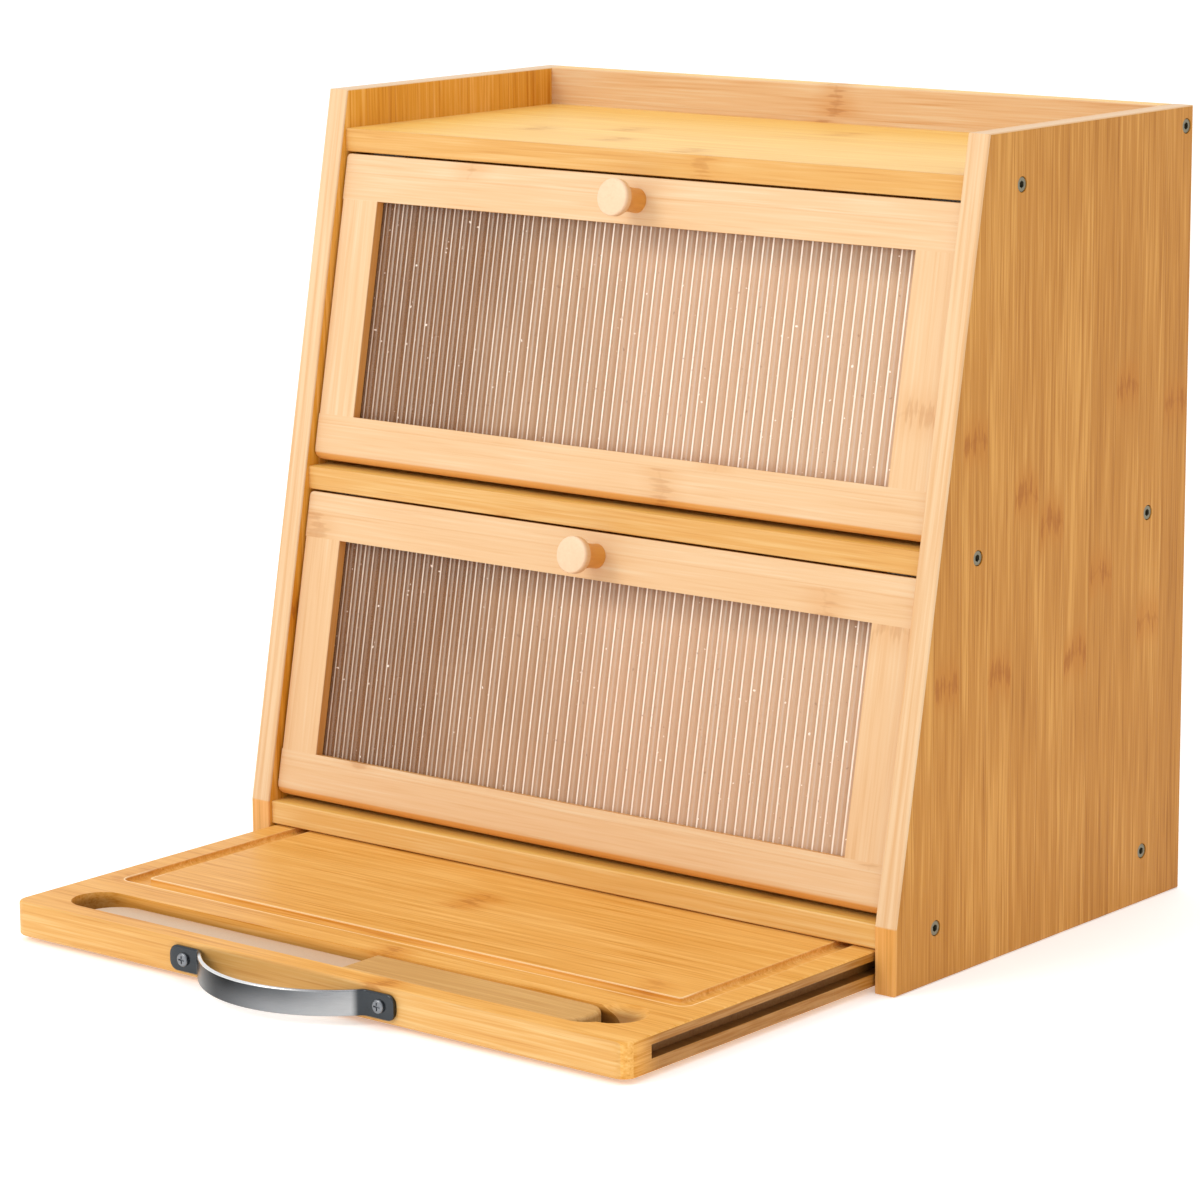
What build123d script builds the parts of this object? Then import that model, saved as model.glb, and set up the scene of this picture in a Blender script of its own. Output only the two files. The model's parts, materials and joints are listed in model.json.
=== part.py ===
from build123d import *
from math import atan2, cos, sin, sqrt, tan
import os

# A two-tier bamboo bread box with two drop-down doors and a pull-out cutting board.
# Millimetres, +Z up, the front towards -Y. The origin is on the floor, under the middle of the
# whole object with its board pulled out as far as it stands at rest.

# Driving dimensions of the carcass
width = 380.0             # over the two side panels
depth = 228.0             # side panel, front to back, at the floor
top_depth = 163.0         # side panel at its top
height = 366.0
kink_height = 30.0        # the front edge is upright up to here and leans back above it
panel = 11.0              # side panel thickness
shelf_thickness = 11.0
bay_height = 18.8         # clear height under the bottom shelf, where the board slides
shelf_setback = 2.4       # shelf front behind the side panels' front edge
rail_height = 18.2        # gallery rail and side panels above the top shelf
rail_thickness = 11.0     # gallery rail behind the top shelf
back_thickness = 5.0
back_inset = 5.0          # back panel in front of the rear edges
back_groove = 5.0         # depth of the grooves that hold the back panel
back_lift = 1.0           # back panel above the floor
vent_diameter = 8.0       # air holes in the back panel
vent_count = 5            # in each tier
vent_pitch = 40.0
vent_drop = 28.0          # from the shelf above down to the row of holes
ease = 0.8                # eased wooden edges
fit = 0.05                # clearance round a screw or pin in its own hole

# Furniture screws through the side panels
screw_head_diameter = 7.0
screw_head_height = 3.0
screw_shank_diameter = 5.0
screw_length = 38.0
screw_socket = 3.0        # across the flats of the hexagon
screw_socket_depth = 2.2
screw_recess = 0.4        # head below the panel's face
screw_front_inset = 30.0  # behind the side panel's front edge
screw_rear_inset = 32.5   # in front of the rear edge

# Doors
door_thickness = 11.0
door_setback = 4.5        # door face behind the sloping front edge, square to it
door_side_gap = 1.0
door_top_gap = 0.8
door_bottom_gap = 2.3
frame_rail = 21.8         # height of the top and bottom rails
frame_stile = 22.0
corner_radius = 2.5
tenon_length = 5.0        # also the depth of the groove for the window
tenon_shoulder = 3.0      # stopped end of the groove, from the door's outer edge
window_setback = 4.8      # window behind the door's face
window_plate = 1.7
reed_height = 0.7
reed_count = 60
window_play = 0.5         # window's edge short of the groove's bottom
groove_play = 0.1         # each side of the window and of the tenon
pin_diameter = 4.0
pin_play = 0.1            # running clearance of the hinge pin in the side panel
pin_in_panel = 6.0
pin_in_rail = 14.0
pin_end_play = 0.5

# Door knobs
knob_length = 19.0
knob_face_radius = 8.5
knob_base_radius = 5.6
knob_waist_radius = 6.0
knob_waist_share = 0.55   # the waist radius is measured this far up the stem
knob_rim = 4.0            # thickness of the head's rim
knob_crown = 0.8          # the face swells by this much
knob_screw_diameter = 4.0
knob_screw_depth = 11.0   # into the knob
knob_screw_head_radius = 3.8
knob_screw_head_height = 2.2

# Magnet catches behind the doors' top corners
catch_block_width = 11.0  # the part that holds the magnet
catch_wing_width = 9.0    # the wing beside it that the screw goes through
catch_height = 14.0
catch_depth = 8.0
catch_wing = 4.0          # thickness of the wing
magnet_diameter = 8.0
magnet_length = 4.0
magnet_gap = 0.25
strike_width = 14.0
strike_height = 9.0
strike_thickness = 1.0
strike_drop = 5.5         # strike plate's middle below the door's top
small_screw_diameter = 3.0
small_screw_head_diameter = 5.6
small_screw_head_height = 1.6
catch_screw_length = 11.0
strike_screw_length = 8.0

# Cutting board
board_thickness = 16.0
board_depth = 214.0
board_out = 169.0         # how far the board stands out of the carcass at rest
board_top_gap = 0.6       # under the bottom shelf
board_side_gap = 1.0
board_corner = 7.0
board_ease = 1.4
runner_groove_top = 4.0   # wood left above the runner groove
runner_groove_height = 6.0
runner_groove_depth = 6.0
runner_groove_start = 16.3  # solid wood at the front end of the runner groove
runner_play = 0.1         # above the runner
runner_slack = 0.3        # below the runner
runner_tip_gap = 0.5
runner_dado = 3.0         # depth that the runner is let into the side panel
runner_front = 17.5       # runner starts behind the carcass front
juice_width = 9.5
juice_depth = 2.6
juice_side = 13.0         # outer edge of the juice groove from the board's side
juice_rear = 13.0
juice_front = 55.0
juice_corner = 5.5
juice_bottom_radius = 1.6
slot_front = 11.5         # knife recess from the board's front edge
slot_width = 26.0
slot_depth = 10.5
blade_room = 10.4         # recess beyond the blade's tip
grip_room = 11.0          # recess beyond the grip's end
scoop_radius = 24.0       # finger scoop, part of a ball
scoop_depth = 4.6
scoop_x = 147.5
scoop_back = 6.5          # scoop's middle behind the recess's middle line

# Bow handle
bow_strap = 2.0
bow_height = 11.5
bow_reach = 25.0          # crown of the bow in front of the board
bow_span = 98.0           # between the tabs
bow_tab = 16.5
bow_offset = -11.5        # the bow's middle is left of the board's middle
bow_tab_corner = 3.8
bow_bend = 4.0            # inner radius where the tab turns into the bow
handle_screw_diameter = 3.0
handle_screw_length = 10.0
handle_screw_head_radius = 3.1
handle_screw_head_height = 1.5
cross_slot = 0.7
cross_span = 3.6

# Bread knife
blade_thickness = 1.6
blade_width = 22.0
blade_start = 10.4        # where the blade meets the handle, from the board's middle
blade_length = 160.0
blade_tip_radius = 16.0
tooth_pitch = 6.4
tooth_depth = 1.1
tang_width = 12.0
tang_length = 90.0
grip_end = 140.0
grip_thickness = 10.2
grip_play = 0.5           # grip to the sides of the recess
grip_corner = 10.0
grip_ease = 2.0

# Places that follow from the sizes above
inner = width / 2 - panel
back_y = (depth + board_out + bow_reach) / 2
front_y = back_y - depth
back_face = back_y - back_inset - back_thickness
lean = atan2(depth - top_depth, height - kink_height)
half_door = door_thickness / 2
door_half_width = inner - door_side_gap
tier_pitch = (height - rail_height - shelf_thickness - bay_height) / 2
shelf_floor = [bay_height + tier * tier_pitch for tier in range(3)]
shelf_top = [z + shelf_thickness for z in shelf_floor]
slot_left = blade_length - blade_start + blade_room
slot_right = grip_end + grip_room
catch_width = catch_block_width + catch_wing_width


def edge_y(z):
    """The side panels' front edge at height z."""
    return front_y + max(0.0, z - kink_height) * tan(lean)


def block(x, y, z):
    """A box between pairs of coordinates."""
    size = [abs(b - a) for a, b in (x, y, z)]
    middle = [(a + b) / 2 for a, b in (x, y, z)]
    return Pos(*middle) * Box(*size)


def group(*solids):
    """Separate solids in one node."""
    return Compound(children=list(solids))


def toward_x(x, y, z):
    """A place for a turned piece whose outer end faces +X."""
    return Pos(x, y, z) * Rot(0, 90, 0)


def both_sides(piece):
    """A piece and its mirror image across the middle."""
    return [piece, mirror(piece, Plane.YZ)]


# ------------------------------------------------------------------ fasteners
def screw(head_radius, head_height, shank_radius, length, sunk=True):
    """A screw along Z with its head's top at zero, sunk flush or round-headed."""
    if sunk:
        head = Pos(0, 0, -head_height / 2) * Cone(shank_radius, head_radius, head_height)
    else:
        head = Pos(0, 0, head_height / 2) * Cylinder(head_radius, head_height)
        head = fillet(head.edges().group_by(Axis.Z)[-1], head_height * 0.6)
    shank = Pos(0, 0, -length / 2) * Cylinder(shank_radius, length)
    tip = shank_radius * 0.6
    shank = chamfer(shank.edges().group_by(Axis.Z)[0], tip)
    return head + shank


def screw_hole(head_radius, head_height, shank_radius, length):
    """What a sunk screw takes out of the wood, open above its head."""
    head = Pos(0, 0, -head_height / 2) * Cone(shank_radius + fit, head_radius + fit, head_height)
    shank = Pos(0, 0, -length / 2) * Cylinder(shank_radius + fit, length + 2 * fit)
    return head + shank


def furniture_screw():
    """Hex-socket screw along Z, its head's top at zero."""
    head = Pos(0, 0, -screw_head_height / 2) * Cylinder(screw_head_diameter / 2, screw_head_height)
    socket = extrude(RegularPolygon(screw_socket / 2, 6, major_radius=False), -screw_socket_depth)
    shank = Pos(0, 0, -screw_length / 2) * Cylinder(screw_shank_diameter / 2, screw_length)
    shank = chamfer(shank.edges().group_by(Axis.Z)[0], screw_shank_diameter / 5)
    head = chamfer(head.edges().group_by(Axis.Z)[-1], 0.4)
    return head + shank - socket


def furniture_screw_hole():
    """The stepped hole for a furniture screw, open above its head."""
    bore = screw_head_height + fit + screw_recess
    head = Pos(0, 0, screw_recess - bore / 2) * Cylinder(screw_head_diameter / 2 + fit, bore)
    shank = Pos(0, 0, -screw_length / 2) * Cylinder(
        screw_shank_diameter / 2 + fit, screw_length + 2 * fit
    )
    return head + shank


middles = [(a + b) / 2 for a, b in zip(shelf_floor, shelf_top)]
screw_places = [(edge_y(z) + screw_front_inset, z) for z in middles]
screw_places += [(back_y - screw_rear_inset, z) for z in middles[:2]]
screw_places += [(back_y - rail_thickness / 2, shelf_top[2] + rail_height / 2)]
screw_face = width / 2 - screw_recess


def drill(piece):
    """Take every furniture screw's hole out of a piece that spans the carcass."""
    for y, z in screw_places:
        hole = toward_x(screw_face, y, z) * furniture_screw_hole()
        piece -= hole
        piece -= mirror(hole, Plane.YZ)
    return piece


right_screws = [toward_x(screw_face, y, z) * furniture_screw() for y, z in screw_places]
left_screws = [mirror(one, Plane.YZ) for one in right_screws]


# ------------------------------------------------------------------ doors: frame of reference
# A door is drawn lying in its own plane: x along the hinge, y up the slope, z outwards, with
# the hinge axis at its origin.
pivots = []
for tier in range(2):
    pivot_z = shelf_top[tier] + door_bottom_gap + half_door
    pivot_y = edge_y(pivot_z) + (door_setback + half_door) / cos(lean)
    pivots.append((pivot_y, pivot_z))

door_top_z = shelf_floor[1] - door_top_gap
door_top = (door_top_z - pivots[0][1] - half_door * sin(lean)) / cos(lean)
window_bottom = frame_rail - half_door
window_top = door_top - frame_rail
window_middle = (window_bottom + window_top) / 2
window_front = half_door - window_setback
window_thickness = window_plate + reed_height
window_rear = window_front - window_thickness
stile_inner = door_half_width - frame_stile


def door_place(tier):
    """From the door's own plane to its place in the carcass."""
    y, z = pivots[tier]
    return Plane((0, y, z), x_dir=(1, 0, 0), z_dir=(0, -cos(lean), sin(lean))).location


def parallel_y(tier, offset, z):
    """Where the plane parallel to a door, offset outwards from its middle, is at height z."""
    y, pivot_z = pivots[tier]
    return y + (z - pivot_z) * tan(lean) - offset / cos(lean)


# ------------------------------------------------------------------ carcass
def side_panel():
    """The right side panel."""
    outline = Polyline(
        (front_y, 0),
        (back_y, 0),
        (back_y, height),
        (back_y - top_depth, height),
        (front_y, kink_height),
        close=True,
    )
    piece = extrude(Plane.YZ.offset(inner) * make_face(outline), panel)
    piece = fillet(piece.faces().filter_by(Axis.X).edges(), ease)
    piece -= block(
        (inner - 1, inner + back_groove),
        (back_face, back_face + back_thickness),
        (-1, shelf_floor[2] + shelf_thickness / 2),
    )
    piece -= block(
        (inner - 1, inner + runner_dado),
        (front_y + runner_front, back_face),
        (runner_bottom, runner_top),
    )
    for y, z in pivots:
        depth_of_hole = pin_in_panel + pin_end_play
        pin_hole = Cylinder(pin_diameter / 2 + pin_play, depth_of_hole + 1)
        piece -= toward_x(inner + (depth_of_hole - 1) / 2, y, z) * pin_hole
    return drill(piece)


def shelf(tier):
    """A shelf between the side panels, its front cut upright."""
    rear = back_y - rail_thickness if tier == 2 else back_face
    front = edge_y(shelf_top[tier]) + shelf_setback
    piece = block((-inner, inner), (front, rear), (shelf_floor[tier], shelf_top[tier]))
    front_edges = piece.edges().filter_by(Axis.X).group_by(Axis.Y)[0]
    piece = fillet(front_edges, ease)
    if tier > 0:
        for hole in both_sides(catch_screw_place(tier - 1) * catch_screw_hole):
            piece -= hole
    return drill(piece)


def back_panel():
    """The thin back in its grooves, with a row of air holes for each tier."""
    reach = inner + back_groove - fit
    piece = block(
        (-reach, reach),
        (back_face, back_face + back_thickness),
        (back_lift, shelf_floor[2] + shelf_thickness / 2 - fit),
    )
    for ceiling in shelf_floor[1:]:
        for column in range(vent_count):
            x = (column - (vent_count - 1) / 2) * vent_pitch
            hole = Cylinder(vent_diameter / 2, 3 * back_thickness, rotation=(90, 0, 0))
            piece -= Pos(x, back_face + back_thickness / 2, ceiling - vent_drop) * hole
    return piece


def back_rail():
    """The gallery rail behind the top shelf, level with the tops of the side panels."""
    piece = block((-inner, inner), (back_y - rail_thickness, back_y), (shelf_floor[2], height))
    piece = fillet(piece.edges().filter_by(Axis.X).group_by(Axis.Z)[-1], ease)
    piece -= block(
        (-width, width),
        (back_face, back_face + back_thickness),
        (shelf_floor[2] - 1, shelf_floor[2] + shelf_thickness / 2),
    )
    return drill(piece)


runner_top = bay_height - board_top_gap - runner_groove_top - runner_play
runner_bottom = runner_top - (runner_groove_height - runner_play - runner_slack)


def board_runner():
    """The right runner, let into the side panel."""
    tip = door_half_width - runner_groove_depth + runner_tip_gap + (door_side_gap - board_side_gap)
    piece = block(
        (tip, inner + runner_dado - fit),
        (front_y + runner_front, back_face),
        (runner_bottom, runner_top),
    )
    tip_edges = piece.edges().filter_by(Axis.Y).group_by(Axis.X)[0]
    piece = fillet(tip_edges, ease)
    return piece


# ------------------------------------------------------------------ magnet catches
magnet_face = -(half_door + strike_thickness + magnet_gap)
catch_x = door_half_width - frame_stile / 2


def magnet_place(tier):
    """The middle of the right magnet's face, looking out at the door."""
    return door_place(tier) * Pos(catch_x, door_top - strike_drop, magnet_face)


def catch_screw_place(tier):
    """The right catch's screw, which goes up through its wing into the shelf."""
    ceiling = shelf_floor[tier + 1]
    x = catch_x - (catch_block_width + catch_wing_width) / 2
    y = parallel_y(tier, magnet_face, ceiling) + catch_depth / 2
    return Pos(x, y, ceiling - catch_wing) * Rot(180, 0, 0)


def magnet_catch(tier):
    """The right catch under the shelf, its face parallel to the closed door."""
    ceiling = shelf_floor[tier + 1]
    top_y = parallel_y(tier, magnet_face, ceiling)
    low_y = parallel_y(tier, magnet_face, ceiling - catch_height)
    profile = Polyline(
        (top_y, ceiling),
        (top_y + catch_depth, ceiling),
        (low_y + catch_depth, ceiling - catch_height),
        (low_y, ceiling - catch_height),
        close=True,
    )
    left = catch_x - catch_block_width / 2
    solid = extrude(Plane.YZ.offset(left - catch_wing_width) * make_face(profile), catch_width)
    wing_space = block(
        (left - catch_wing_width - 1, left),
        (low_y - 1, top_y + catch_depth + 1),
        (ceiling - catch_height - 1, ceiling - catch_wing),
    )
    piece = solid - wing_space
    pocket = Pos(0, 0, -magnet_length / 2) * Cylinder(magnet_diameter / 2 + fit, magnet_length)
    piece -= magnet_place(tier) * pocket
    return piece - catch_screw_place(tier) * catch_screw_hole


small_screw = (small_screw_head_diameter / 2, small_screw_head_height, small_screw_diameter / 2)
catch_screw_hole = screw_hole(*small_screw, catch_screw_length)
catch_screw = screw(*small_screw, catch_screw_length)
magnet = Pos(0, 0, -magnet_length / 2) * Cylinder(magnet_diameter / 2, magnet_length)


# ------------------------------------------------------------------ door pieces, in the door's plane
def frame_blank(low, high):
    """A slice of the door between two heights, bullnosed below and rounded at its corners."""
    section = Pos((door_top - half_door) / 2, 0) * Rectangle(door_top + half_door, door_thickness)
    section = fillet(section.vertices().group_by(Axis.X)[0], half_door - 0.01)
    section = fillet(section.vertices().group_by(Axis.X)[-1], ease)
    bar = extrude(Plane.YZ * section, door_half_width, both=True)
    front = Pos(0, (door_top - half_door) / 2) * RectangleRounded(
        2 * door_half_width, door_top + half_door, corner_radius
    )
    bar &= extrude(front, half_door, both=True)
    return bar & block((-width, width), (low, high), (-door_thickness, door_thickness))


def window_groove(x, y):
    """The groove that holds the window and the tenons."""
    return block(x, y, (window_rear - groove_play, window_front + groove_play))


groove_end = door_half_width - tenon_shoulder


def bottom_rail():
    """Bottom rail, turning on a pin in each end."""
    piece = frame_blank(-half_door, window_bottom)
    piece -= window_groove(
        (-groove_end, groove_end), (window_bottom - tenon_length, window_bottom + 1)
    )
    hole = toward_x(door_half_width - pin_in_rail / 2, 0, 0) * Cylinder(
        pin_diameter / 2 + fit, pin_in_rail + 2 * fit
    )
    for one in both_sides(hole):
        piece -= one
    return piece


def top_rail():
    """Top rail, drilled for the knob and the strike plates."""
    piece = frame_blank(window_top, door_top)
    piece -= window_groove((-groove_end, groove_end), (window_top - 1, window_top + tenon_length))
    piece -= Pos(0, knob_height, 0) * Cylinder(knob_screw_diameter / 2 + fit, 2 * door_thickness)
    for x in (-catch_x, catch_x):
        piece -= strike_screw_place(x) * strike_screw_hole
    return piece


def right_stile():
    """Right stile with a tenon at each end and a groove for the window."""
    piece = block(
        (stile_inner, door_half_width), (window_bottom, window_top), (-half_door, half_door)
    )
    outer = piece.edges().filter_by(Axis.Y).group_by(Axis.X)[-1]
    piece = fillet(outer, ease)
    reach = tenon_length - fit
    piece += block(
        (stile_inner, groove_end - fit),
        (window_bottom - reach, window_top + reach),
        (window_rear, window_front),
    )
    return piece - window_groove(
        (stile_inner - 1, stile_inner + tenon_length),
        (window_bottom - tenon_length, window_top + tenon_length),
    )


def window():
    """Clear sheet with upright half-round reeds on its face."""
    half = stile_inner + tenon_length - window_play
    pitch = 2 * half / reed_count
    trough = window_front - reed_height
    outline = [
        Line((half, trough), (half, window_rear)),
        Line((half, window_rear), (-half, window_rear)),
        Line((-half, window_rear), (-half, trough)),
    ]
    for reed in range(reed_count):
        start = -half + reed * pitch
        crest = (start + pitch / 2, window_front)
        outline.append(ThreePointArc((start, trough), crest, (start + pitch, trough)))
    sheet = make_face(outline)
    tall = window_top - window_bottom + 2 * (tenon_length - window_play)
    return Pos(0, window_middle, 0) * extrude(Plane.XZ * sheet, tall / 2, both=True)


def knob():
    """Turned knob: a flaring stem under a thick rim with a slightly domed face."""
    face = knob_length - knob_crown
    rim_start = face - knob_rim
    face_flat = knob_face_radius - knob_crown
    crown_radius = (face_flat**2 + knob_crown**2) / (2 * knob_crown)
    crown_middle = knob_length - crown_radius + sqrt(crown_radius**2 - (face_flat / 2) ** 2)
    outline = [
        Line((0, 0), (knob_base_radius, 0)),
        ThreePointArc(
            (knob_base_radius, 0),
            (knob_waist_radius, rim_start * knob_waist_share),
            (knob_face_radius, rim_start),
        ),
        Line((knob_face_radius, rim_start), (knob_face_radius, face - knob_crown)),
        Line((knob_face_radius, face - knob_crown), (face_flat, face)),
        ThreePointArc((face_flat, face), (face_flat / 2, crown_middle), (0, knob_length)),
        Line((0, knob_length), (0, 0)),
    ]
    piece = revolve(Plane.XZ * make_face(outline), Axis.Z)
    piece -= Pos(0, 0, knob_screw_depth / 2) * Cylinder(
        knob_screw_diameter / 2 + fit, knob_screw_depth + 2 * fit
    )
    return Pos(0, knob_height, half_door) * piece


def knob_screw():
    """Round-headed screw from behind, through the rail into the knob."""
    length = door_thickness + knob_screw_depth
    piece = screw(
        knob_screw_head_radius,
        knob_screw_head_height,
        knob_screw_diameter / 2,
        length,
        sunk=False,
    )
    piece -= Pos(0, 0, knob_screw_head_height) * cross_recess()
    return Pos(0, knob_height, -half_door) * Rot(180, 0, 0) * piece


def cross_recess():
    """The cross in a screw's head, its top at zero."""
    deep = 2 * cross_slot
    return Box(cross_span, cross_slot, deep) + Box(cross_slot, cross_span, deep)


knob_height = door_top - frame_rail / 2
strike_screw_hole = screw_hole(*small_screw, strike_screw_length)
strike_screw = screw(*small_screw, strike_screw_length)


def strike_screw_place(x):
    """A strike plate's screw, its head flush with the plate, pointing out through the rail."""
    return Pos(x, door_top - strike_drop, -half_door - strike_thickness) * Rot(180, 0, 0)


def strike_plate(x):
    """A small steel plate for the magnet to hold."""
    plate = RectangleRounded(strike_width, strike_height, 1.5)
    middle = Pos(x, door_top - strike_drop, -half_door - strike_thickness)
    return middle * extrude(plate, strike_thickness) - strike_screw_place(x) * strike_screw_hole


def hinge_pin():
    """The right hinge pin, from the rail's end into the side panel."""
    length = pin_in_rail + door_side_gap + pin_in_panel
    pin = Cylinder(pin_diameter / 2, length)
    pin = chamfer(pin.edges(), pin_diameter / 10)
    return toward_x(door_half_width - pin_in_rail + length / 2, 0, 0) * pin


door_pieces = {
    "top_rail": [top_rail()],
    "bottom_rail": [bottom_rail()],
    "left_stile": [mirror(right_stile(), Plane.YZ)],
    "right_stile": [right_stile()],
    "window": [window()],
    "knob": [knob()],
    "knob_screw": [knob_screw()],
    "strike_plates": [strike_plate(x) for x in (-catch_x, catch_x)],
    "strike_screws": [strike_screw_place(x) * strike_screw for x in (-catch_x, catch_x)],
    "hinge_pins": both_sides(hinge_pin()),
}

# ------------------------------------------------------------------ cutting board
board_half = inner - board_side_gap
board_top = bay_height - board_top_gap
board_bottom = board_top - board_thickness
board_front = front_y - board_out
board_rear = board_front + board_depth
board_middle = (board_front + board_rear) / 2
slot_y = board_front + slot_front + slot_width / 2
slot_floor = board_top - slot_depth


def juice_groove():
    """A shallow moat round the cutting surface."""
    low = board_front + juice_front
    high = board_rear - juice_rear
    half = board_half - juice_side
    place = Pos(0, (low + high) / 2, board_top)
    outer = RectangleRounded(2 * half, high - low, juice_corner)
    island = RectangleRounded(2 * (half - juice_width), high - low - 2 * juice_width, 1.5)
    moat = extrude(outer - island, -juice_depth)
    moat = fillet(moat.edges().group_by(Axis.Z)[0], juice_bottom_radius)
    return place * moat


def knife_recess():
    """Long round-ended recess and the finger scoop at the grip's end."""
    length = slot_left + slot_right
    centre = (slot_right - slot_left) / 2
    slot = extrude(SlotOverall(length, slot_width), slot_depth + 1)
    slot = Pos(centre, slot_y, slot_floor) * slot
    scoop = Pos(scoop_x, slot_y + scoop_back, board_top - scoop_depth + scoop_radius)
    return slot + scoop * Sphere(scoop_radius)


def cutting_board():
    """The board, with rounded front corners and a runner groove along each side."""
    blank = Pos(0, board_middle, board_bottom) * extrude(
        Rectangle(2 * board_half, board_depth), board_thickness
    )
    front_corners = blank.edges().filter_by(Axis.Z).group_by(Axis.Y)[0]
    blank = fillet(front_corners, board_corner)
    rims = blank.edges().group_by(Axis.Z)
    blank = fillet(rims[0] + rims[-1], board_ease)
    blank -= knife_recess()
    blank -= juice_groove()
    groove_top = board_top - runner_groove_top
    for side in (-1, 1):
        blank -= block(
            (side * (board_half - runner_groove_depth), side * (board_half + 1)),
            (board_front + runner_groove_start, board_rear + 1),
            (groove_top - runner_groove_height, groove_top),
        )
    for x in handle_screw_x:
        hole = Cylinder(handle_screw_diameter / 2 + fit, 2 * handle_screw_length, rotation=(90, 0, 0))
        blank -= Pos(x, board_front, handle_z) * hole
    return blank


# ------------------------------------------------------------------ bow handle
handle_z = board_bottom + board_thickness / 2
handle_screw_x = [bow_offset + side * (bow_span + bow_tab) / 2 for side in (-1, 1)]


def bow_handle():
    """One bent steel strap: two flat tabs and an arched bow between them."""
    half = bow_span / 2
    reach = bow_reach - bow_strap / 2
    radius = (half**2 + reach**2) / (2 * reach)
    sagged = Pos(0, reach - radius)
    ring = sagged * (Circle(radius + bow_strap / 2) - Circle(radius - bow_strap / 2))
    ring &= Pos(0, bow_reach) * Rectangle(2 * bow_span, 2 * bow_reach)
    tabs = Rectangle(bow_span + 2 * bow_tab, bow_strap, align=(Align.CENTER, Align.MIN))
    tabs -= Rectangle(bow_span - bow_strap, 3 * bow_strap)
    strap = ring + tabs
    inner_bends = [v for v in strap.vertices() if abs(abs(v.X) - half) < 4 and v.Y > bow_strap / 2]
    strap = fillet(inner_bends, bow_bend)
    piece = extrude(strap, bow_height / 2, both=True)
    ends = piece.edges().filter_by(Axis.Y).sort_by(Axis.X)
    piece = fillet(ends[:2] + ends[-2:], bow_tab_corner)
    piece = Pos(bow_offset, board_front, handle_z) * mirror(piece, Plane.XZ)
    for x in handle_screw_x:
        hole = Cylinder(handle_screw_diameter / 2 + fit, 6 * bow_strap, rotation=(90, 0, 0))
        piece -= Pos(x, board_front, handle_z) * hole
    return piece


def handle_screw():
    """Round-headed cross-slotted screw that holds the bow handle."""
    piece = screw(
        handle_screw_head_radius,
        handle_screw_head_height,
        handle_screw_diameter / 2,
        handle_screw_length,
        sunk=False,
    )
    return piece - Pos(0, 0, handle_screw_head_height) * cross_recess()


# ------------------------------------------------------------------ bread knife
grip_floor = slot_floor
blade_z = grip_floor + grip_thickness / 2 - blade_thickness / 2


def knife_blade():
    """Flat blade with a rounded tip, scalloped teeth on its front edge and a tang."""
    low = slot_y - blade_width / 2
    high = slot_y + blade_width / 2
    tip = blade_start - blade_length
    blank = Pos((tip + blade_start) / 2, slot_y) * Rectangle(blade_length, blade_width)
    nose = blank.vertices().sort_by(Axis.X)[:2].sort_by(Axis.Y)
    blank = fillet(nose[1], blade_tip_radius)
    blank = fillet(blank.vertices().sort_by(Axis.X)[0], 3.0)
    scallop = (tooth_pitch**2 / 4 + tooth_depth**2) / (2 * tooth_depth)
    teeth = int((blade_length - 2 * blade_tip_radius) / tooth_pitch)
    for tooth in range(teeth):
        x = blade_start - blade_tip_radius - (tooth + 0.5) * tooth_pitch
        blank -= Pos(x, low + tooth_depth - scallop) * Circle(scallop)
    tang = Pos(blade_start + tang_length / 2, slot_y) * Rectangle(tang_length + 2, tang_width)
    profile = blank + tang
    return Pos(0, 0, blade_z) * extrude(profile, blade_thickness)


def knife_grip():
    """Wooden grip, slotted for the tang, its top level with the board."""
    length = grip_end - blade_start
    grip_width = slot_width - 2 * grip_play
    place = Pos((grip_end + blade_start) / 2, slot_y, grip_floor)
    blank = extrude(Rectangle(length, grip_width), grip_thickness)
    blank = fillet(blank.edges().filter_by(Axis.Z).group_by(Axis.X)[-1], grip_corner)
    blank = fillet(blank.edges().group_by(Axis.Z)[-1], grip_ease)
    tang = Pos(blade_start + tang_length / 2, slot_y, blade_z + blade_thickness / 2) * Box(
        tang_length + 2 + 2 * fit, tang_width + 2 * fit, blade_thickness + 2 * fit
    )
    return place * blank - tang


# ------------------------------------------------------------------ all nodes
parts = {
    "right_side_panel": side_panel(),
    "top_shelf": shelf(2),
    "middle_shelf": shelf(1),
    "bottom_shelf": shelf(0),
    "back_panel": back_panel(),
    "back_rail": back_rail(),
    "right_side_screws": group(*right_screws),
    "left_side_screws": group(*left_screws),
    "right_board_runner": board_runner(),
    "upper_magnet_catches": group(*both_sides(magnet_catch(1))),
    "lower_magnet_catches": group(*both_sides(magnet_catch(0))),
    "catch_magnets": group(*[m for t in (0, 1) for m in both_sides(magnet_place(t) * magnet)]),
    "catch_screws": group(
        *[one for t in (0, 1) for one in both_sides(catch_screw_place(t) * catch_screw)]
    ),
    "board": cutting_board(),
    "bow_handle": bow_handle(),
    "handle_screws": group(
        *[
            Pos(x, board_front - bow_strap, handle_z) * Rot(90, 0, 0) * handle_screw()
            for x in handle_screw_x
        ]
    ),
    "knife_blade": knife_blade(),
    "knife_handle": knife_grip(),
}
parts["left_side_panel"] = mirror(parts["right_side_panel"], Plane.YZ)
parts["left_board_runner"] = mirror(parts["right_board_runner"], Plane.YZ)
for tier, door in enumerate(("lower_door", "upper_door")):
    for name, pieces in door_pieces.items():
        placed = [door_place(tier) * piece for piece in pieces]
        parts[f"{door}_{name}"] = placed[0] if len(placed) == 1 else group(*placed)

os.makedirs("parts", exist_ok=True)
for node, shape in parts.items():
    export_step(shape, f"parts/{node}.step")
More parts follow.
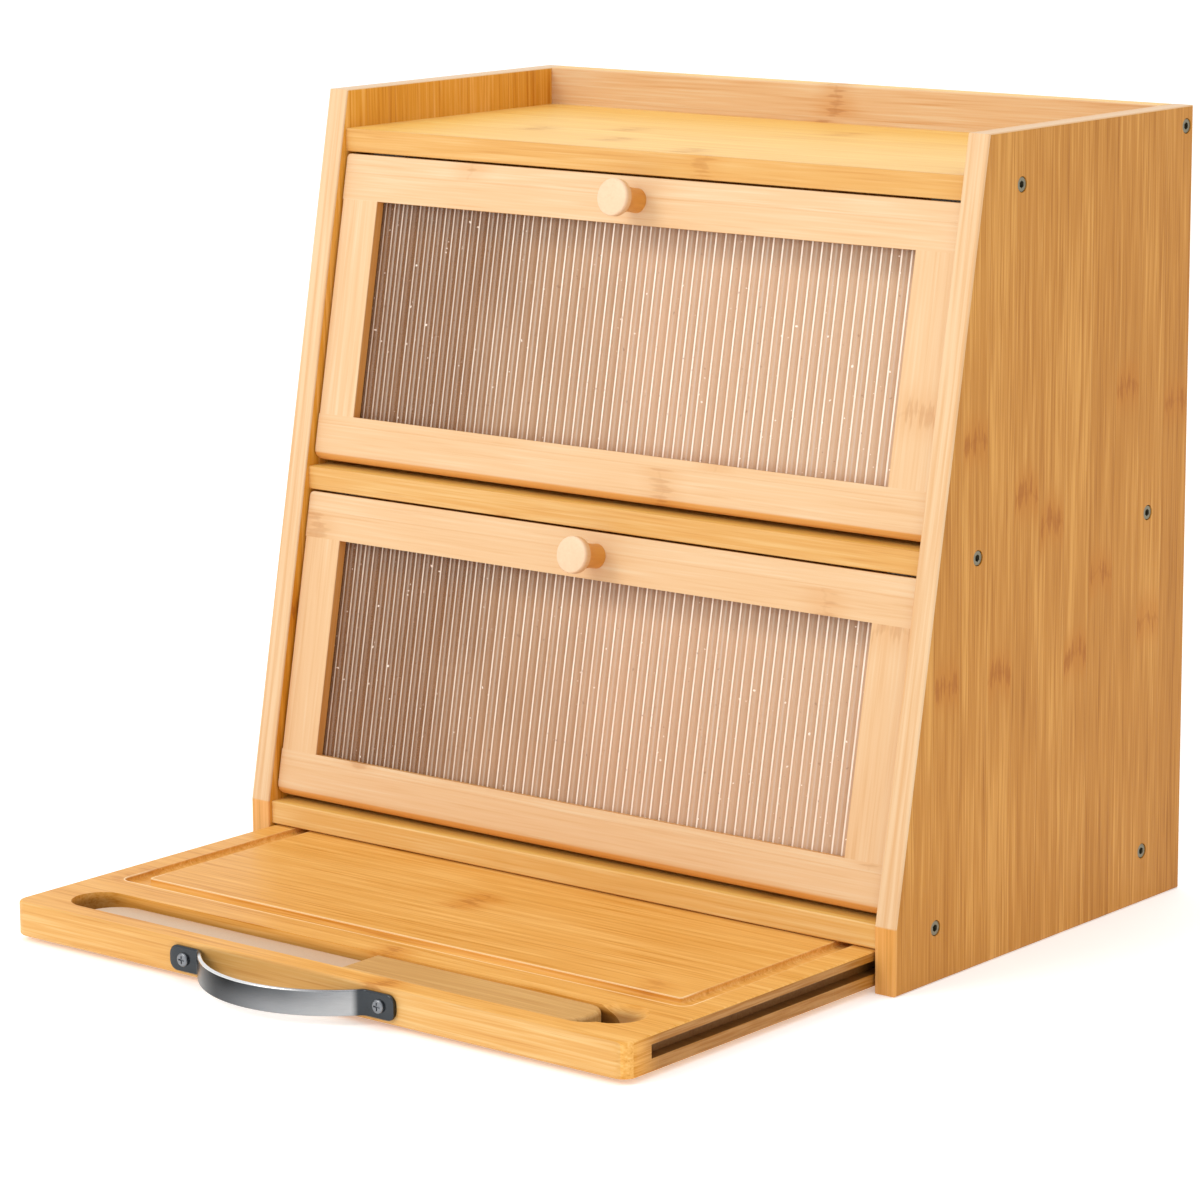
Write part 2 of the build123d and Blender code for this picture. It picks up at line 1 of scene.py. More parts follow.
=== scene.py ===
"""The looks of a two-tier bamboo bread box with two drop-down doors and a pull-out cutting board.

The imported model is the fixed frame. Most of its pieces keep their own meshes and get procedural
finishes; the two windows, the two knobs and the bow handle are new surfaces laid over their
nodes. Everything is in metres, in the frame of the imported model.
"""

import json
import logging
import math
from dataclasses import dataclass
from enum import Enum
from typing import Callable, Optional, Protocol, Sequence, Union

import bmesh
import bpy
import numpy as np
from mathutils import Matrix, Vector

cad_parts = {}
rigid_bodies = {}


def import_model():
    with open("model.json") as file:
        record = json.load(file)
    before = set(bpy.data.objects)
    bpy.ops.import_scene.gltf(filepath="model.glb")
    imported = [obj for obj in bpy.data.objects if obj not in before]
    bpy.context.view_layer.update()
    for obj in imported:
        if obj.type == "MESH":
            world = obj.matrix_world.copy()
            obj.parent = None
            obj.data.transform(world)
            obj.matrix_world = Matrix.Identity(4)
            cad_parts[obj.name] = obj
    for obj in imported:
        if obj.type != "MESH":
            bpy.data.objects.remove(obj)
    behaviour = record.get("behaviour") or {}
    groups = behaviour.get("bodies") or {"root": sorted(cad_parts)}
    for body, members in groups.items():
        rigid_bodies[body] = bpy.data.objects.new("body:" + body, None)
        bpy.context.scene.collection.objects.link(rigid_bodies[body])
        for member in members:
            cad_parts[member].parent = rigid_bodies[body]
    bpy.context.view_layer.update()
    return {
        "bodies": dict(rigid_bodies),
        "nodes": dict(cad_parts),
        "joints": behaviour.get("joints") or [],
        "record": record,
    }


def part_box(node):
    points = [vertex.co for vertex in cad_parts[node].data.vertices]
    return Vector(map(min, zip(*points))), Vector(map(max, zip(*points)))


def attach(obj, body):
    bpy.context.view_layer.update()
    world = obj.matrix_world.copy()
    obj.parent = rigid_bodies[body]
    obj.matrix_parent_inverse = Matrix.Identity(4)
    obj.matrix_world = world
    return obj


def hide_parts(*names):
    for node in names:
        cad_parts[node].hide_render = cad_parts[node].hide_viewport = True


LOG = logging.getLogger("bread_box")

# What a node's input takes: a plain value, or the output socket that feeds it
Feed = Union[float, Sequence[float], bpy.types.NodeSocket]
Stops = tuple[tuple[float, str], ...]
Parts = dict[str, bpy.types.NodeSocket]

MM = 0.001  # a millimetre in the frame's metres
LEAN = math.atan2(65.0, 336.0)  # how far the doors lean back, run over rise
QUARTER_TURN = math.pi / 2
BLACKENED = (0.02, 0.02, 0.02, 1.0)
WARM_GREY = (0.3, 0.28, 0.25, 1.0)
WHITE = (1.0, 1.0, 1.0, 1.0)


def rgb(code: str) -> tuple[float, float, float, float]:
    """A display colour as linear light.

    Args:
        code: six hexadecimal digits.

    Returns:
        Linear red, green, blue and an alpha of one.
    """
    parts = [int(code[i:i + 2], 16) / 255 for i in (0, 2, 4)]
    linear = [c / 12.92 if c <= 0.04045 else ((c + 0.055) / 1.055) ** 2.4 for c in parts]
    return (*linear, 1.0)


# ---------------------------------------------------------------------- node graphs
class Graph:
    """Adds nodes to a material's or a group's tree and joins them up."""

    def __init__(self, tree: bpy.types.NodeTree) -> None:
        """Keep the tree."""
        self.tree = tree

    def add(
        self, kind: str, inputs: Optional[dict[Union[str, int], Feed]] = None, **settings: object
    ) -> bpy.types.Node:
        """Add a node.

        Args:
            kind: the node's class name without "ShaderNode".
            inputs: socket name or index to a value or an output socket.
            settings: properties of the node.

        Returns:
            The new node.
        """
        node = self.tree.nodes.new("ShaderNode" + kind)
        for name, value in settings.items():
            setattr(node, name, value)
        for key, value in (inputs or {}).items():
            self.feed(node.inputs[key], value)
        return node

    def feed(self, socket: bpy.types.NodeSocket, value: Feed) -> None:
        """Set an input socket, or link an output socket to it.

        Args:
            socket: the input.
            value: a plain value or an output socket.
        """
        if isinstance(value, bpy.types.NodeSocket):
            self.tree.links.new(value, socket)
        else:
            socket.default_value = value

    def math(self, operation: str, *values: Feed, clamp: bool = False) -> bpy.types.NodeSocket:
        """A Math node's output for one to three values or sockets."""
        inputs = dict(enumerate(values))
        return self.add("Math", inputs, operation=operation, use_clamp=clamp).outputs[0]

    def plus(self, first: Feed, second: Feed) -> bpy.types.NodeSocket:
        """The sum of two values."""
        return self.math("ADD", first, second)

    def minus(self, first: Feed, second: Feed) -> bpy.types.NodeSocket:
        """The first value less the second."""
        return self.math("SUBTRACT", first, second)

    def times(self, first: Feed, second: Feed, clamp: bool = False) -> bpy.types.NodeSocket:
        """The product of two values."""
        return self.math("MULTIPLY", first, second, clamp=clamp)

    def linear(
        self, value: Feed, gain: Feed, offset: Feed, clamp: bool = False
    ) -> bpy.types.NodeSocket:
        """A value times a gain, plus an offset."""
        return self.math("MULTIPLY_ADD", value, gain, offset, clamp=clamp)

    def smooth(self, value: Feed, low: Feed, high: Feed) -> bpy.types.NodeSocket:
        """A smooth step of a value.

        Args:
            value: what is stepped.
            low: the value where the step gives 0.
            high: the value where it gives 1, above or below low.

        Returns:
            3 t^2 - 2 t^3, where t is the clamped share of the way from low to high.
        """
        inputs = {"Value": value, "From Min": low, "From Max": high}
        node = self.add("MapRange", inputs, interpolation_type="SMOOTHSTEP")
        return node.outputs["Result"]

    def mix(
        self, factor: Feed, first: Feed, second: Feed, blend: str = "MIX"
    ) -> bpy.types.NodeSocket:
        """Mix two colours.

        Args:
            factor: the share of the second.
            first: the colour at 0.
            second: the colour at 1.
            blend: the Mix node's way of mixing.

        Returns:
            The mixed colour.
        """
        node = self.add("Mix", data_type="RGBA", blend_type=blend)
        for index, value in ((0, factor), (6, first), (7, second)):
            self.feed(node.inputs[index], value)
        return node.outputs[2]

    def noise(
        self, vector: Feed, scale: float, detail: float = 2.0, rough: float = 0.5
    ) -> bpy.types.NodeSocket:
        """A noise value about 0.5 at a vector. Its scale is in waves for each metre."""
        inputs = {"Vector": vector, "Scale": scale, "Detail": detail, "Roughness": rough}
        return self.add("TexNoise", inputs).outputs["Fac"]

    def split(self, vector: Feed) -> list[bpy.types.NodeSocket]:
        """The three parts of a vector."""
        return list(self.add("SeparateXYZ", {0: vector}).outputs)

    def join(self, x: Feed, y: Feed, z: Feed) -> bpy.types.NodeSocket:
        """A vector of three parts."""
        return self.add("CombineXYZ", {0: x, 1: y, 2: z}).outputs[0]


def new_group(
    name: str, inputs: dict[str, tuple[str, Optional[float]]], outputs: dict[str, str]
) -> tuple[bpy.types.NodeTree, Graph]:
    """Make an empty shader node group.

    Args:
        name: the group's name.
        inputs: socket name to its kind and default value.
        outputs: socket name to its kind.

    Returns:
        The group and a graph on it, with its input node named "in" and its output node "out".
    """
    group = bpy.data.node_groups.new(name, "ShaderNodeTree")
    for label, (kind, value) in inputs.items():
        socket = group.interface.new_socket(label, in_out="INPUT", socket_type="NodeSocket" + kind)
        if value is not None:
            socket.default_value = value
    for label, kind in outputs.items():
        group.interface.new_socket(label, in_out="OUTPUT", socket_type="NodeSocket" + kind)
    group.nodes.new("NodeGroupInput").name = "in"
    group.nodes.new("NodeGroupOutput").name = "out"
    return group, Graph(group)


def bamboo_group() -> bpy.types.NodeTree:
    """The group for bamboo glued up from strips.

    Its vector has x across the strips, y through the thickness and z along the fibres. Each strip
    has its own tone and fibres: noise stretched along z, with dark hairlines and pale gleams. Where
    the cane had its node there is a mark: a slight arch of short dark strokes, each of its own
    length, in an orange glow. "End" turns the surface into end grain.

    Returns:
        The node group.
    """
    inputs = {
        "Vector": ("Vector", None),
        "Strip Width": ("Float", 0.02),
        "Ply": ("Float", 0.02),
        "Seed": ("Float", 0.0),
        "Light": ("Color", None),
        "Mid": ("Color", None),
        "Dark": ("Color", None),
        "Knot": ("Color", None),
        "Glow": ("Color", None),
        "Seam": ("Float", 0.35),
        "Cloud": ("Float", 0.35),
        "Strip Contrast": ("Float", 0.3),
        "Fibre Contrast": ("Float", 0.5),
        "Knot Spacing": ("Float", 0.3),
        "Knot Strength": ("Float", 0.8),
        "Knot Shift": ("Float", 0.0),
        "Given Shift": ("Float", 0.0),
        "End": ("Float", 0.0),
    }
    outputs = {"Color": "Color", "Roughness": "Float", "Height": "Float"}
    group, g = new_group("bamboo", inputs, outputs)
    given = group.nodes["in"].outputs
    x, y, z = g.split(given["Vector"])

    # which strip this is, and where across it
    across = g.plus(g.math("DIVIDE", x, given["Strip Width"]), 0.5)
    strip = g.math("FLOOR", across)
    part = g.math("FRACT", across)
    ply = g.math("FLOOR", g.math("DIVIDE", y, given["Ply"]))
    label = g.join(strip, ply, given["Seed"])
    chance = g.add("TexWhiteNoise", {"Vector": label}, noise_dimensions="3D")
    tone = chance.outputs["Value"]
    red, _, blue = g.add("SeparateColor", {0: chance.outputs["Color"]}).outputs

    # fibres: noise stretched along the cane, shifted in each strip. A draw is the noise's scale
    # along the fibres over its scale across them.
    coarse_draw, fine_draw, cloud_draw, stroke_draw = 0.036, 0.020, 0.35, 0.10
    sway_width = 1.2 * MM
    shift = g.linear(tone, 7.0, given["Seed"])
    sway = g.times(g.noise(g.join(x, y, z), 7.0, 1.0), sway_width)
    across_fibres = g.plus(x, sway)
    long_at = g.join(across_fibres, y, g.linear(z, coarse_draw, shift))
    fine_at = g.join(across_fibres, y, g.linear(z, fine_draw, shift))
    cloud = g.noise(g.join(x, y, g.linear(z, cloud_draw, shift)), 26.0, 2.0)
    coarse = g.noise(long_at, 340.0, 2.0, 0.6)
    fine = g.noise(fine_at, 900.0, 1.0, 0.6)
    hair = g.smooth(g.noise(fine_at, 640.0, 2.0, 0.7), 0.585, 0.70)
    gleam = g.smooth(g.noise(fine_at, 560.0, 1.0, 0.5), 0.57, 0.70)

    fibre = given["Fibre Contrast"]
    level = g.linear(g.minus(cloud, 0.5), given["Cloud"], 0.55)
    level = g.linear(g.minus(coarse, 0.5), fibre, level)
    level = g.linear(g.minus(fine, 0.5), fibre, level)
    level = g.linear(g.minus(tone, 0.5), given["Strip Contrast"], level)
    low = g.mix(g.smooth(level, 0.10, 0.52), given["Dark"], given["Mid"])
    color = g.mix(g.smooth(level, 0.48, 0.90), low, given["Light"])
    color = g.mix(g.times(g.times(hair, 0.55), fibre), color, given["Dark"])
    color = g.mix(g.times(g.times(gleam, 0.30), fibre), color, given["Light"])

    # glue lines between strips
    seam_width = 0.5 * MM
    from_edge = g.math("MINIMUM", part, g.minus(1.0, part))
    from_edge = g.times(from_edge, given["Strip Width"])
    seam = g.minus(1.0, g.smooth(from_edge, 0.0, seam_width))
    color = g.mix(g.times(seam, given["Seam"]), color, given["Dark"])

    # the cane's node on each strip: short dark strokes in an orange glow
    arch_rise, ragged_rise = 0.014, 8.0 * MM
    shortest, longer = 1.0 * MM, 8.5 * MM
    core_reach = (0.2 * MM, 1.4 * MM)
    glow_reach = (2.0 * MM, 17.0 * MM)
    seam_gap = (0.2 * MM, 1.5 * MM)
    own = g.minus(1.0, given["Given Shift"])
    phase = g.linear(red, own, given["Knot Shift"])
    phase = g.plus(g.math("DIVIDE", z, given["Knot Spacing"]), phase)
    away = g.minus(g.math("FRACT", phase), 0.5)
    away = g.times(away, given["Knot Spacing"])
    stroke_at = g.join(x, y, g.linear(z, stroke_draw, shift))
    stroke = g.noise(stroke_at, 640.0, 1.0, 0.5)
    arch = g.times(g.minus(part, 0.5), g.minus(part, 0.5))
    ragged = g.minus(g.noise(stroke_at, 240.0, 1.0), 0.5)
    centre = g.linear(ragged, ragged_rise, away)
    distance = g.math("ABSOLUTE", g.linear(arch, arch_rise, centre))
    length = g.linear(g.smooth(stroke, 0.40, 0.70), longer, shortest)
    body = g.smooth(distance, length, g.times(length, 0.35))
    dense = g.smooth(stroke, 0.42, 0.62)
    core = g.minus(1.0, g.smooth(distance, *core_reach))
    glow = g.minus(1.0, g.smooth(distance, *glow_reach))
    inside = g.smooth(from_edge, *seam_gap)
    chosen = g.smooth(g.plus(blue, given["Given Shift"]), 0.35, 0.50)
    gate = g.times(g.times(inside, chosen), given["Knot Strength"])
    strokes = g.times(body, g.linear(dense, 0.55, 0.10))
    strokes = g.linear(core, 0.10, strokes)
    mark = g.times(strokes, gate, clamp=True)
    halo = g.times(g.times(glow, 0.60), gate)
    color = g.mix(halo, color, given["Glow"])
    color = g.mix(mark, color, given["Knot"])

    # end grain: thin layers seen edge-on
    layer_at = g.join(g.times(x, 0.04), y, 0.0)
    layers = g.noise(layer_at, 720.0, 2.0, 0.6)
    pores = g.smooth(g.noise(g.join(x, y, z), 900.0, 1.0), 0.50, 0.68)
    end_color = g.mix(g.smooth(layers, 0.36, 0.62), given["Dark"], given["Mid"])
    end_color = g.mix(g.times(pores, 0.05), end_color, given["Knot"])
    color = g.mix(given["End"], color, end_color)

    rough = g.linear(g.minus(fine, 0.5), 0.16, 0.42)
    rough = g.linear(mark, 0.10, rough)
    height = g.linear(coarse, 0.4, g.times(fine, 0.6))
    height = g.linear(seam, -0.8, height)
    height = g.linear(mark, -0.5, height)
    out = group.nodes["out"].inputs
    for socket, value in zip(out, (color, rough, height)):
        group.links.new(value, socket)
    return group


def wear_group() -> bpy.types.NodeTree:
    """The group for handling marks: soft blotches and fine random scratches.

    Returns:
        The node group, with outputs "Blotch" and "Scratch" from 0 to 1.
    """
    inputs = {"Vector": ("Vector", None), "Scale": ("Float", 30.0)}
    group, g = new_group("wear", inputs, {"Blotch": "Float", "Scratch": "Float"})
    given = group.nodes["in"].outputs
    where = given["Vector"]
    blotch = g.add("TexNoise", {"Vector": where, "Scale": given["Scale"], "Detail": 4.0})
    slanted = g.add("VectorRotate", {"Vector": where, "Angle": 0.7}, rotation_type="Z_AXIS")
    stretch = {0: slanted.outputs[0], 1: (1.0, 40.0, 6.0)}
    stretched = g.add("VectorMath", stretch, operation="MULTIPLY")
    lines = g.noise(stretched.outputs[0], 60.0, 3.0, 0.7)
    scratch = g.smooth(lines, 0.66, 0.72)
    group.links.new(blotch.outputs["Fac"], group.nodes["out"].inputs["Blotch"])
    group.links.new(scratch, group.nodes["out"].inputs["Scratch"])
    return group


class Groups:
    """The shader node groups, each built once."""

    built: dict[str, bpy.types.NodeTree] = {}
    makers: dict[str, Callable[[], bpy.types.NodeTree]] = {
        "bamboo": bamboo_group, "wear": wear_group,
    }

    @classmethod
    def get(cls, name: str) -> bpy.types.NodeTree:
        """Find a group, and build it the first time.

        Args:
            name: "bamboo" or "wear".

        Returns:
            The group.
        """
        if name not in cls.built:
            cls.built[name] = cls.makers[name]()
        return cls.built[name]


class Lay(Enum):
    """Which way a piece of wood lies: across its strips, through it, along its fibres."""

    SIDE = ("Y", "X", "Z")
    FLAT = ("Y", "Z", "X")
    RAIL = ("Z", "Y", "X")
    STILE = ("X", "Y", "Z")
    TURNED = ("X", "Z", "Y")


@dataclass(frozen=True)
class WoodTones:
    """Display colours of one kind of bamboo."""

    light: str
    mid: str
    dark: str
    knot: str
    glow: str


HONEY = WoodTones("F1CB77", "EABA60", "D79B3D", "AD660D", "D18A2E")
PEACH = WoodTones("E0C5A0", "DBB589", "CE9C67", "AB713C", "CD9459")
AMBER = WoodTones("CE9446", "B77A2B", "9F620F", "9B5811", "B5701A")
BUTTER = WoodTones("EBB768", "DEA24C", "C6821E", "A8600F", "C97C16")
WHEAT = WoodTones("DCB475", "D39F57", "C38941", "A8661C", "C98A3C")
STRAW = WoodTones("E3C084", "DAAB63", "CA934A", "A8661C", "C98A3C")
CIDER = WoodTones("E4AB68", "D89B51", "C08539", "94500E", "AE640D")
OCHRE = WoodTones("E3A34C", "D28A26", "B66B0D", "8E440D", "BE6D0D")
CARAMEL = WoodTones("E8AE5A", "D7952D", "BB7411", "8E440D", "C6750F")
TAN = WoodTones("D4AA6B", "C29353", "AA7834", "7E490D", "B27A2E")


@dataclass(frozen=True)
class Bamboo:
    """A lacquered bamboo finish.

    The pattern is turned by the tilt about x through the pivot. Where end_beyond is given, end
    grain shows farther than that from the middle, along the fibres.
    """

    name: str
    tones: WoodTones
    lay: Lay
    strip_width: float = 0.020
    ply: float = 0.030
    seed: float = 0.0
    strip_contrast: float = 0.22
    fibre_contrast: float = 0.9
    cloud: float = 0.35
    seam: float = 0.35
    knot_spacing: float = 0.30
    knot_strength: float = 0.75
    tilt: float = 0.0
    pivot: tuple[float, float, float] = (0.0, 0.0, 0.0)
    end_beyond: Optional[float] = None
    roughness_shift: float = 0.0
    coat: float = 0.08
    coat_roughness: float = 0.22
    specular: float = 0.25
    bump_strength: float = 0.35
    bump_depth: float = 0.12 * MM

    def material(self) -> bpy.types.Material:
        """Build the material.

        Returns:
            A material that reads Object coordinates, turned into the piece's own plane.
        """
        material, g, surface = principled(self.name)
        where = g.add("TexCoord").outputs["Object"]
        mapping = g.add("Mapping", {"Vector": where}, vector_type="TEXTURE")
        mapping.inputs["Location"].default_value = self.pivot
        mapping.inputs["Rotation"].default_value = (self.tilt, 0.0, 0.0)
        parts = dict(zip("XYZ", g.split(mapping.outputs[0])))
        wood = self.wood_node(g, parts, self.tones)
        color = self.face_color(g, parts, wood)
        rough = g.plus(wood.outputs["Roughness"], self.roughness_shift)
        g.tree.links.new(color, surface.inputs["Base Color"])
        g.tree.links.new(rough, surface.inputs["Roughness"])
        bump = g.add("Bump", {
            "Height": wood.outputs["Height"], "Distance": self.bump_depth,
            "Strength": self.bump_strength})
        g.tree.links.new(bump.outputs[0], surface.inputs["Normal"])
        surface.inputs["Coat Weight"].default_value = self.coat
        surface.inputs["Coat Roughness"].default_value = self.coat_roughness
        surface.inputs["Specular IOR Level"].default_value = self.specular
        return material

    def wood_node(self, g: Graph, parts: Parts, tones: WoodTones) -> bpy.types.Node:
        """Place the bamboo group with this finish's values.

        Args:
            g: the material's graph.
            parts: the coordinates by letter.
            tones: the wood's colours.

        Returns:
            The group's node.
        """
        wood = g.add("Group")
        wood.node_tree = Groups.get("bamboo")
        values = {
            "Strip Width": self.strip_width, "Ply": self.ply, "Seed": self.seed,
            "Light": rgb(tones.light), "Mid": rgb(tones.mid), "Dark": rgb(tones.dark),
            "Knot": rgb(tones.knot), "Glow": rgb(tones.glow),
            "Seam": self.seam, "Cloud": self.cloud,
            "Strip Contrast": self.strip_contrast, "Fibre Contrast": self.fibre_contrast,
            "Knot Spacing": self.knot_spacing, "Knot Strength": self.knot_strength,
        }
        for label, value in values.items():
            wood.inputs[label].default_value = value
        laid = g.join(*(parts[letter] for letter in self.lay.value))
        g.tree.links.new(laid, wood.inputs["Vector"])
        if self.end_beyond is not None:
            along = g.math("ABSOLUTE", parts[self.lay.value[2]])
            end = g.math("GREATER_THAN", along, self.end_beyond)
            g.tree.links.new(end, wood.inputs["End"])
        return wood

    def face_color(self, g: Graph, parts: Parts, wood: bpy.types.Node) -> bpy.types.NodeSocket:
        """The surface's colour from its graph, coordinates and wood: here the wood's own."""
        return wood.outputs["Color"]


@dataclass(frozen=True)
class SideBamboo(Bamboo):
    """Bamboo of a side panel: a chosen node mark on each strip, and a paler sloping front edge.

    knots are the marks' heights, strip by strip from knots_from on. The front edge stands upright
    at y = front up to the height kink, and slopes back above it. The edges' wood reaches one skin
    deep and covers what lies above top.
    """

    knots: tuple[float, ...] = ()
    knots_from: float = 0.0
    edge_tones: WoodTones = PEACH
    foot_tones: WoodTones = CIDER
    front: float = -17.0 * MM
    kink: float = 30.0 * MM
    kink_fade: float = 0.5 * MM
    skin: float = 1.1 * MM
    top: float = 365.5 * MM

    def wood_node(self, g: Graph, parts: Parts, tones: WoodTones) -> bpy.types.Node:
        """Place the bamboo group and give each strip its mark's height, by a stepped ramp.

        Args:
            g: the material's graph.
            parts: the coordinates by letter.
            tones: the wood's colours.

        Returns:
            The group's node.
        """
        wood = super().wood_node(g, parts, tones)
        if not self.knots:
            return wood
        count = len(self.knots)
        start = g.minus(parts[self.lay.value[0]], self.knots_from)
        ramp = g.add("ValToRGB", {"Fac": g.math("DIVIDE", start, count * self.strip_width)})
        ramp.color_ramp.interpolation = "CONSTANT"
        elements = ramp.color_ramp.elements
        while len(elements) < count:
            elements.new(0.5)
        for index, height in enumerate(self.knots):
            elements[index].position = index / count
            share = height / self.knot_spacing
            elements[index].color = (share, share, share, 1.0)
        shift = g.minus(0.5, ramp.outputs["Color"])
        g.tree.links.new(shift, wood.inputs["Knot Shift"])
        wood.inputs["Given Shift"].default_value = 1.0
        return wood

    def face_color(self, g: Graph, parts: Parts, wood: bpy.types.Node) -> bpy.types.NodeSocket:
        """Take the paler wood on the sloping front edge and the foot's wood on its upright part.

        Args:
            g: the material's graph.
            parts: the coordinates by letter.
            wood: the bamboo group's node.

        Returns:
            The surface's colour.
        """
        above = g.minus(parts["Z"], self.kink)
        edge = g.linear(g.math("MAXIMUM", above, 0.0), math.tan(LEAN), self.front)
        behind = g.minus(parts["Y"], edge)
        near = g.math("LESS_THAN", behind, self.skin)
        top = g.math("GREATER_THAN", parts["Z"], self.top)
        sloping = g.smooth(above, -self.kink_fade, self.kink_fade)
        mask = g.math("MAXIMUM", g.times(near, sloping), top)
        fibres = g.join(parts["X"], 0.0, g.times(parts["Z"], 0.02))
        tone = g.smooth(g.noise(fibres, 420.0, 3.0, 0.6), 0.30, 0.66)
        pale = g.mix(tone, rgb(self.edge_tones.dark), rgb(self.edge_tones.light))
        pale = g.mix(0.45, pale, rgb(self.edge_tones.mid))
        foot = self.wood_node(g, parts, self.foot_tones)
        color = g.mix(near, wood.outputs["Color"], foot.outputs["Color"])
        return g.mix(mask, color, pale)


@dataclass(frozen=True)
class FrontedBamboo(Bamboo):
    """Bamboo of a flat piece, browner on its front edge."""

    front: float = 0.0
    front_tones: WoodTones = WHEAT
    skin: float = 0.8 * MM

    def face_color(self, g: Graph, parts: Parts, wood: bpy.types.Node) -> bpy.types.NodeSocket:
        """Take the other wood within a skin's depth of the front edge.

        Args:
            g: the material's graph.
            parts: the coordinates by letter.
            wood: the bamboo group's node.

        Returns:
            The surface's colour.
        """
        edge = self.wood_node(g, parts, self.front_tones)
        near = g.math("LESS_THAN", parts["Y"], self.front + self.skin)
        return g.mix(near, wood.outputs["Color"], edge.outputs["Color"])


@dataclass(frozen=True)
class BoardBamboo(FrontedBamboo):
    """Bamboo of the cutting board: browner sides, painted shade in hollows, painted groove
    highlights.

    low and high are the board's corners. Depths are measured down from its top, and the places of
    the runner groove, the recess and the juice groove from its front; a pair is where a shade
    starts and where it ends.
    """

    low: tuple[float, float, float] = (0.0, 0.0, 0.0)
    high: tuple[float, float, float] = (0.0, 0.0, 0.0)
    side_skin: float = 0.3 * MM
    side_fade: tuple[float, float] = (6.0 * MM, 24.0 * MM)
    runner_inset: float = 6.3 * MM
    runner_start: float = 16.0 * MM
    runner_depths: tuple[float, float] = (3.9 * MM, 10.2 * MM)
    recess_inset: float = 10.0 * MM
    recess_places: tuple[float, float] = (9.0 * MM, 52.0 * MM)
    recess_depths: tuple[float, float] = (0.2 * MM, 4.5 * MM)
    recess_deepest: float = 14.0 * MM
    grip_end: tuple[float, float] = (95.0 * MM, 118.0 * MM)
    tip_end: tuple[float, float] = (-140.0 * MM, -155.0 * MM)
    line_width: tuple[float, float] = (1.0 * MM, 0.3 * MM)
    line_depth: float = 0.5 * MM
    line_places: tuple[float, float] = (82.0 * MM, 67.0 * MM)
    side_shade: str = "C7C2D1"
    runner_shade: str = "8E7F74"
    # colour of the painted shade in the knife recess and finger scoop
    recess_shade: str = "5A3210"
    # colour of the painted highlight along the juice groove's edges
    groove_highlight: str = "FBE3B4"
    groove_side: float = 13.0 * MM
    groove_front: float = 55.0 * MM
    groove_width: float = 9.5 * MM
    groove_corner: float = 5.5 * MM
    island_corner: float = 1.5 * MM

    def face_color(self, g: Graph, parts: Parts, wood: bpy.types.Node) -> bpy.types.NodeSocket:
        """Brown the sides, paint shade in the runner grooves and recess, and paint groove
        highlights.

        Args:
            g: the material's graph.
            parts: the coordinates by letter.
            wood: the bamboo group's node.

        Returns:
            The surface's colour.
        """
        color = super().face_color(g, parts, wood)
        aside = g.math("ABSOLUTE", parts["X"])
        forward = g.minus(parts["Y"], self.low[1])
        below = g.minus(self.high[2], parts["Z"])
        half = self.high[0]
        side = g.math("GREATER_THAN", aside, half - self.side_skin)
        side = g.times(side, g.smooth(forward, *self.side_fade))
        color = g.mix(side, color, rgb(self.side_shade), "MULTIPLY")
        # painted shade inside the runner grooves
        runner = self.between(g, aside, half - self.runner_inset, half - self.side_skin)
        runner = g.times(runner, self.between(g, below, *self.runner_depths))
        runner = g.times(runner, g.math("GREATER_THAN", forward, self.runner_start))
        color = g.mix(runner, color, rgb(self.runner_shade), "MULTIPLY")

        # painted shade in the knife recess and finger scoop, deepest at the grip's end and the
        # tip's end
        recess = g.math("LESS_THAN", aside, half - self.recess_inset)
        recess = g.times(recess, self.between(g, forward, *self.recess_places))
        recess = g.times(recess, g.math("LESS_THAN", below, self.recess_deepest))
        recess = g.times(recess, g.smooth(below, *self.recess_depths))
        recess_shade_share = g.linear(g.smooth(parts["X"], *self.grip_end), 0.50, 0.25)
        recess_shade_share = g.linear(g.smooth(parts["X"], *self.tip_end), 0.30, recess_shade_share)
        color = g.mix(g.times(recess, recess_shade_share), color, rgb(self.recess_shade))

        # painted highlight along both edges of the juice groove, stronger along its front run
        outer = self.groove_edge(g, parts, 0.0, self.groove_corner)
        inner = self.groove_edge(g, parts, self.groove_width, self.island_corner)
        nearest = g.math("MINIMUM", g.math("ABSOLUTE", outer), g.math("ABSOLUTE", inner))
        line = g.smooth(nearest, *self.line_width)
        line = g.times(line, g.math("LESS_THAN", below, self.line_depth))
        gain = g.linear(g.smooth(forward, *self.line_places), 0.60, 0.15)
        return g.mix(g.times(line, gain), color, rgb(self.groove_highlight))

    @staticmethod
    def between(g: Graph, value: Feed, low: float, high: float) -> bpy.types.NodeSocket:
        """One where a value lies between two limits, otherwise zero."""
        above = g.math("GREATER_THAN", value, low)
        return g.times(above, g.math("LESS_THAN", value, high))

    def groove_edge(
        self, g: Graph, parts: Parts, inset: float, corner: float
    ) -> bpy.types.NodeSocket:
        """The signed distance to one edge of the juice groove, a rectangle with round corners.

        With q the distance in x and y beyond the rectangle shrunk by the corner's radius, it is
        the length of q's positive parts, plus the larger part of q where both are negative, less
        the radius.

        Args:
            g: the material's graph.
            parts: the coordinates by letter.
            inset: how far inside the groove's outer edge.
            corner: the corners' radius.

        Returns:
            The distance, below zero inside.
        """
        first = self.low[1] + self.groove_front + inset
        last = self.high[1] - self.groove_side - inset
        half = self.high[0] - self.groove_side - inset - corner
        depth = (last - first) / 2 - corner
        aside = g.minus(g.math("ABSOLUTE", parts["X"]), half)
        along = g.math("ABSOLUTE", g.minus(parts["Y"], (first + last) / 2))
        along = g.minus(along, depth)
        beyond = g.join(g.math("MAXIMUM", aside, 0.0), g.math("MAXIMUM", along, 0.0), 0.0)
        length = g.add("VectorMath", {0: beyond}, operation="LENGTH").outputs["Value"]
        within = g.math("MINIMUM", g.math("MAXIMUM", aside, along), 0.0)
        return g.minus(g.plus(length, within), corner)


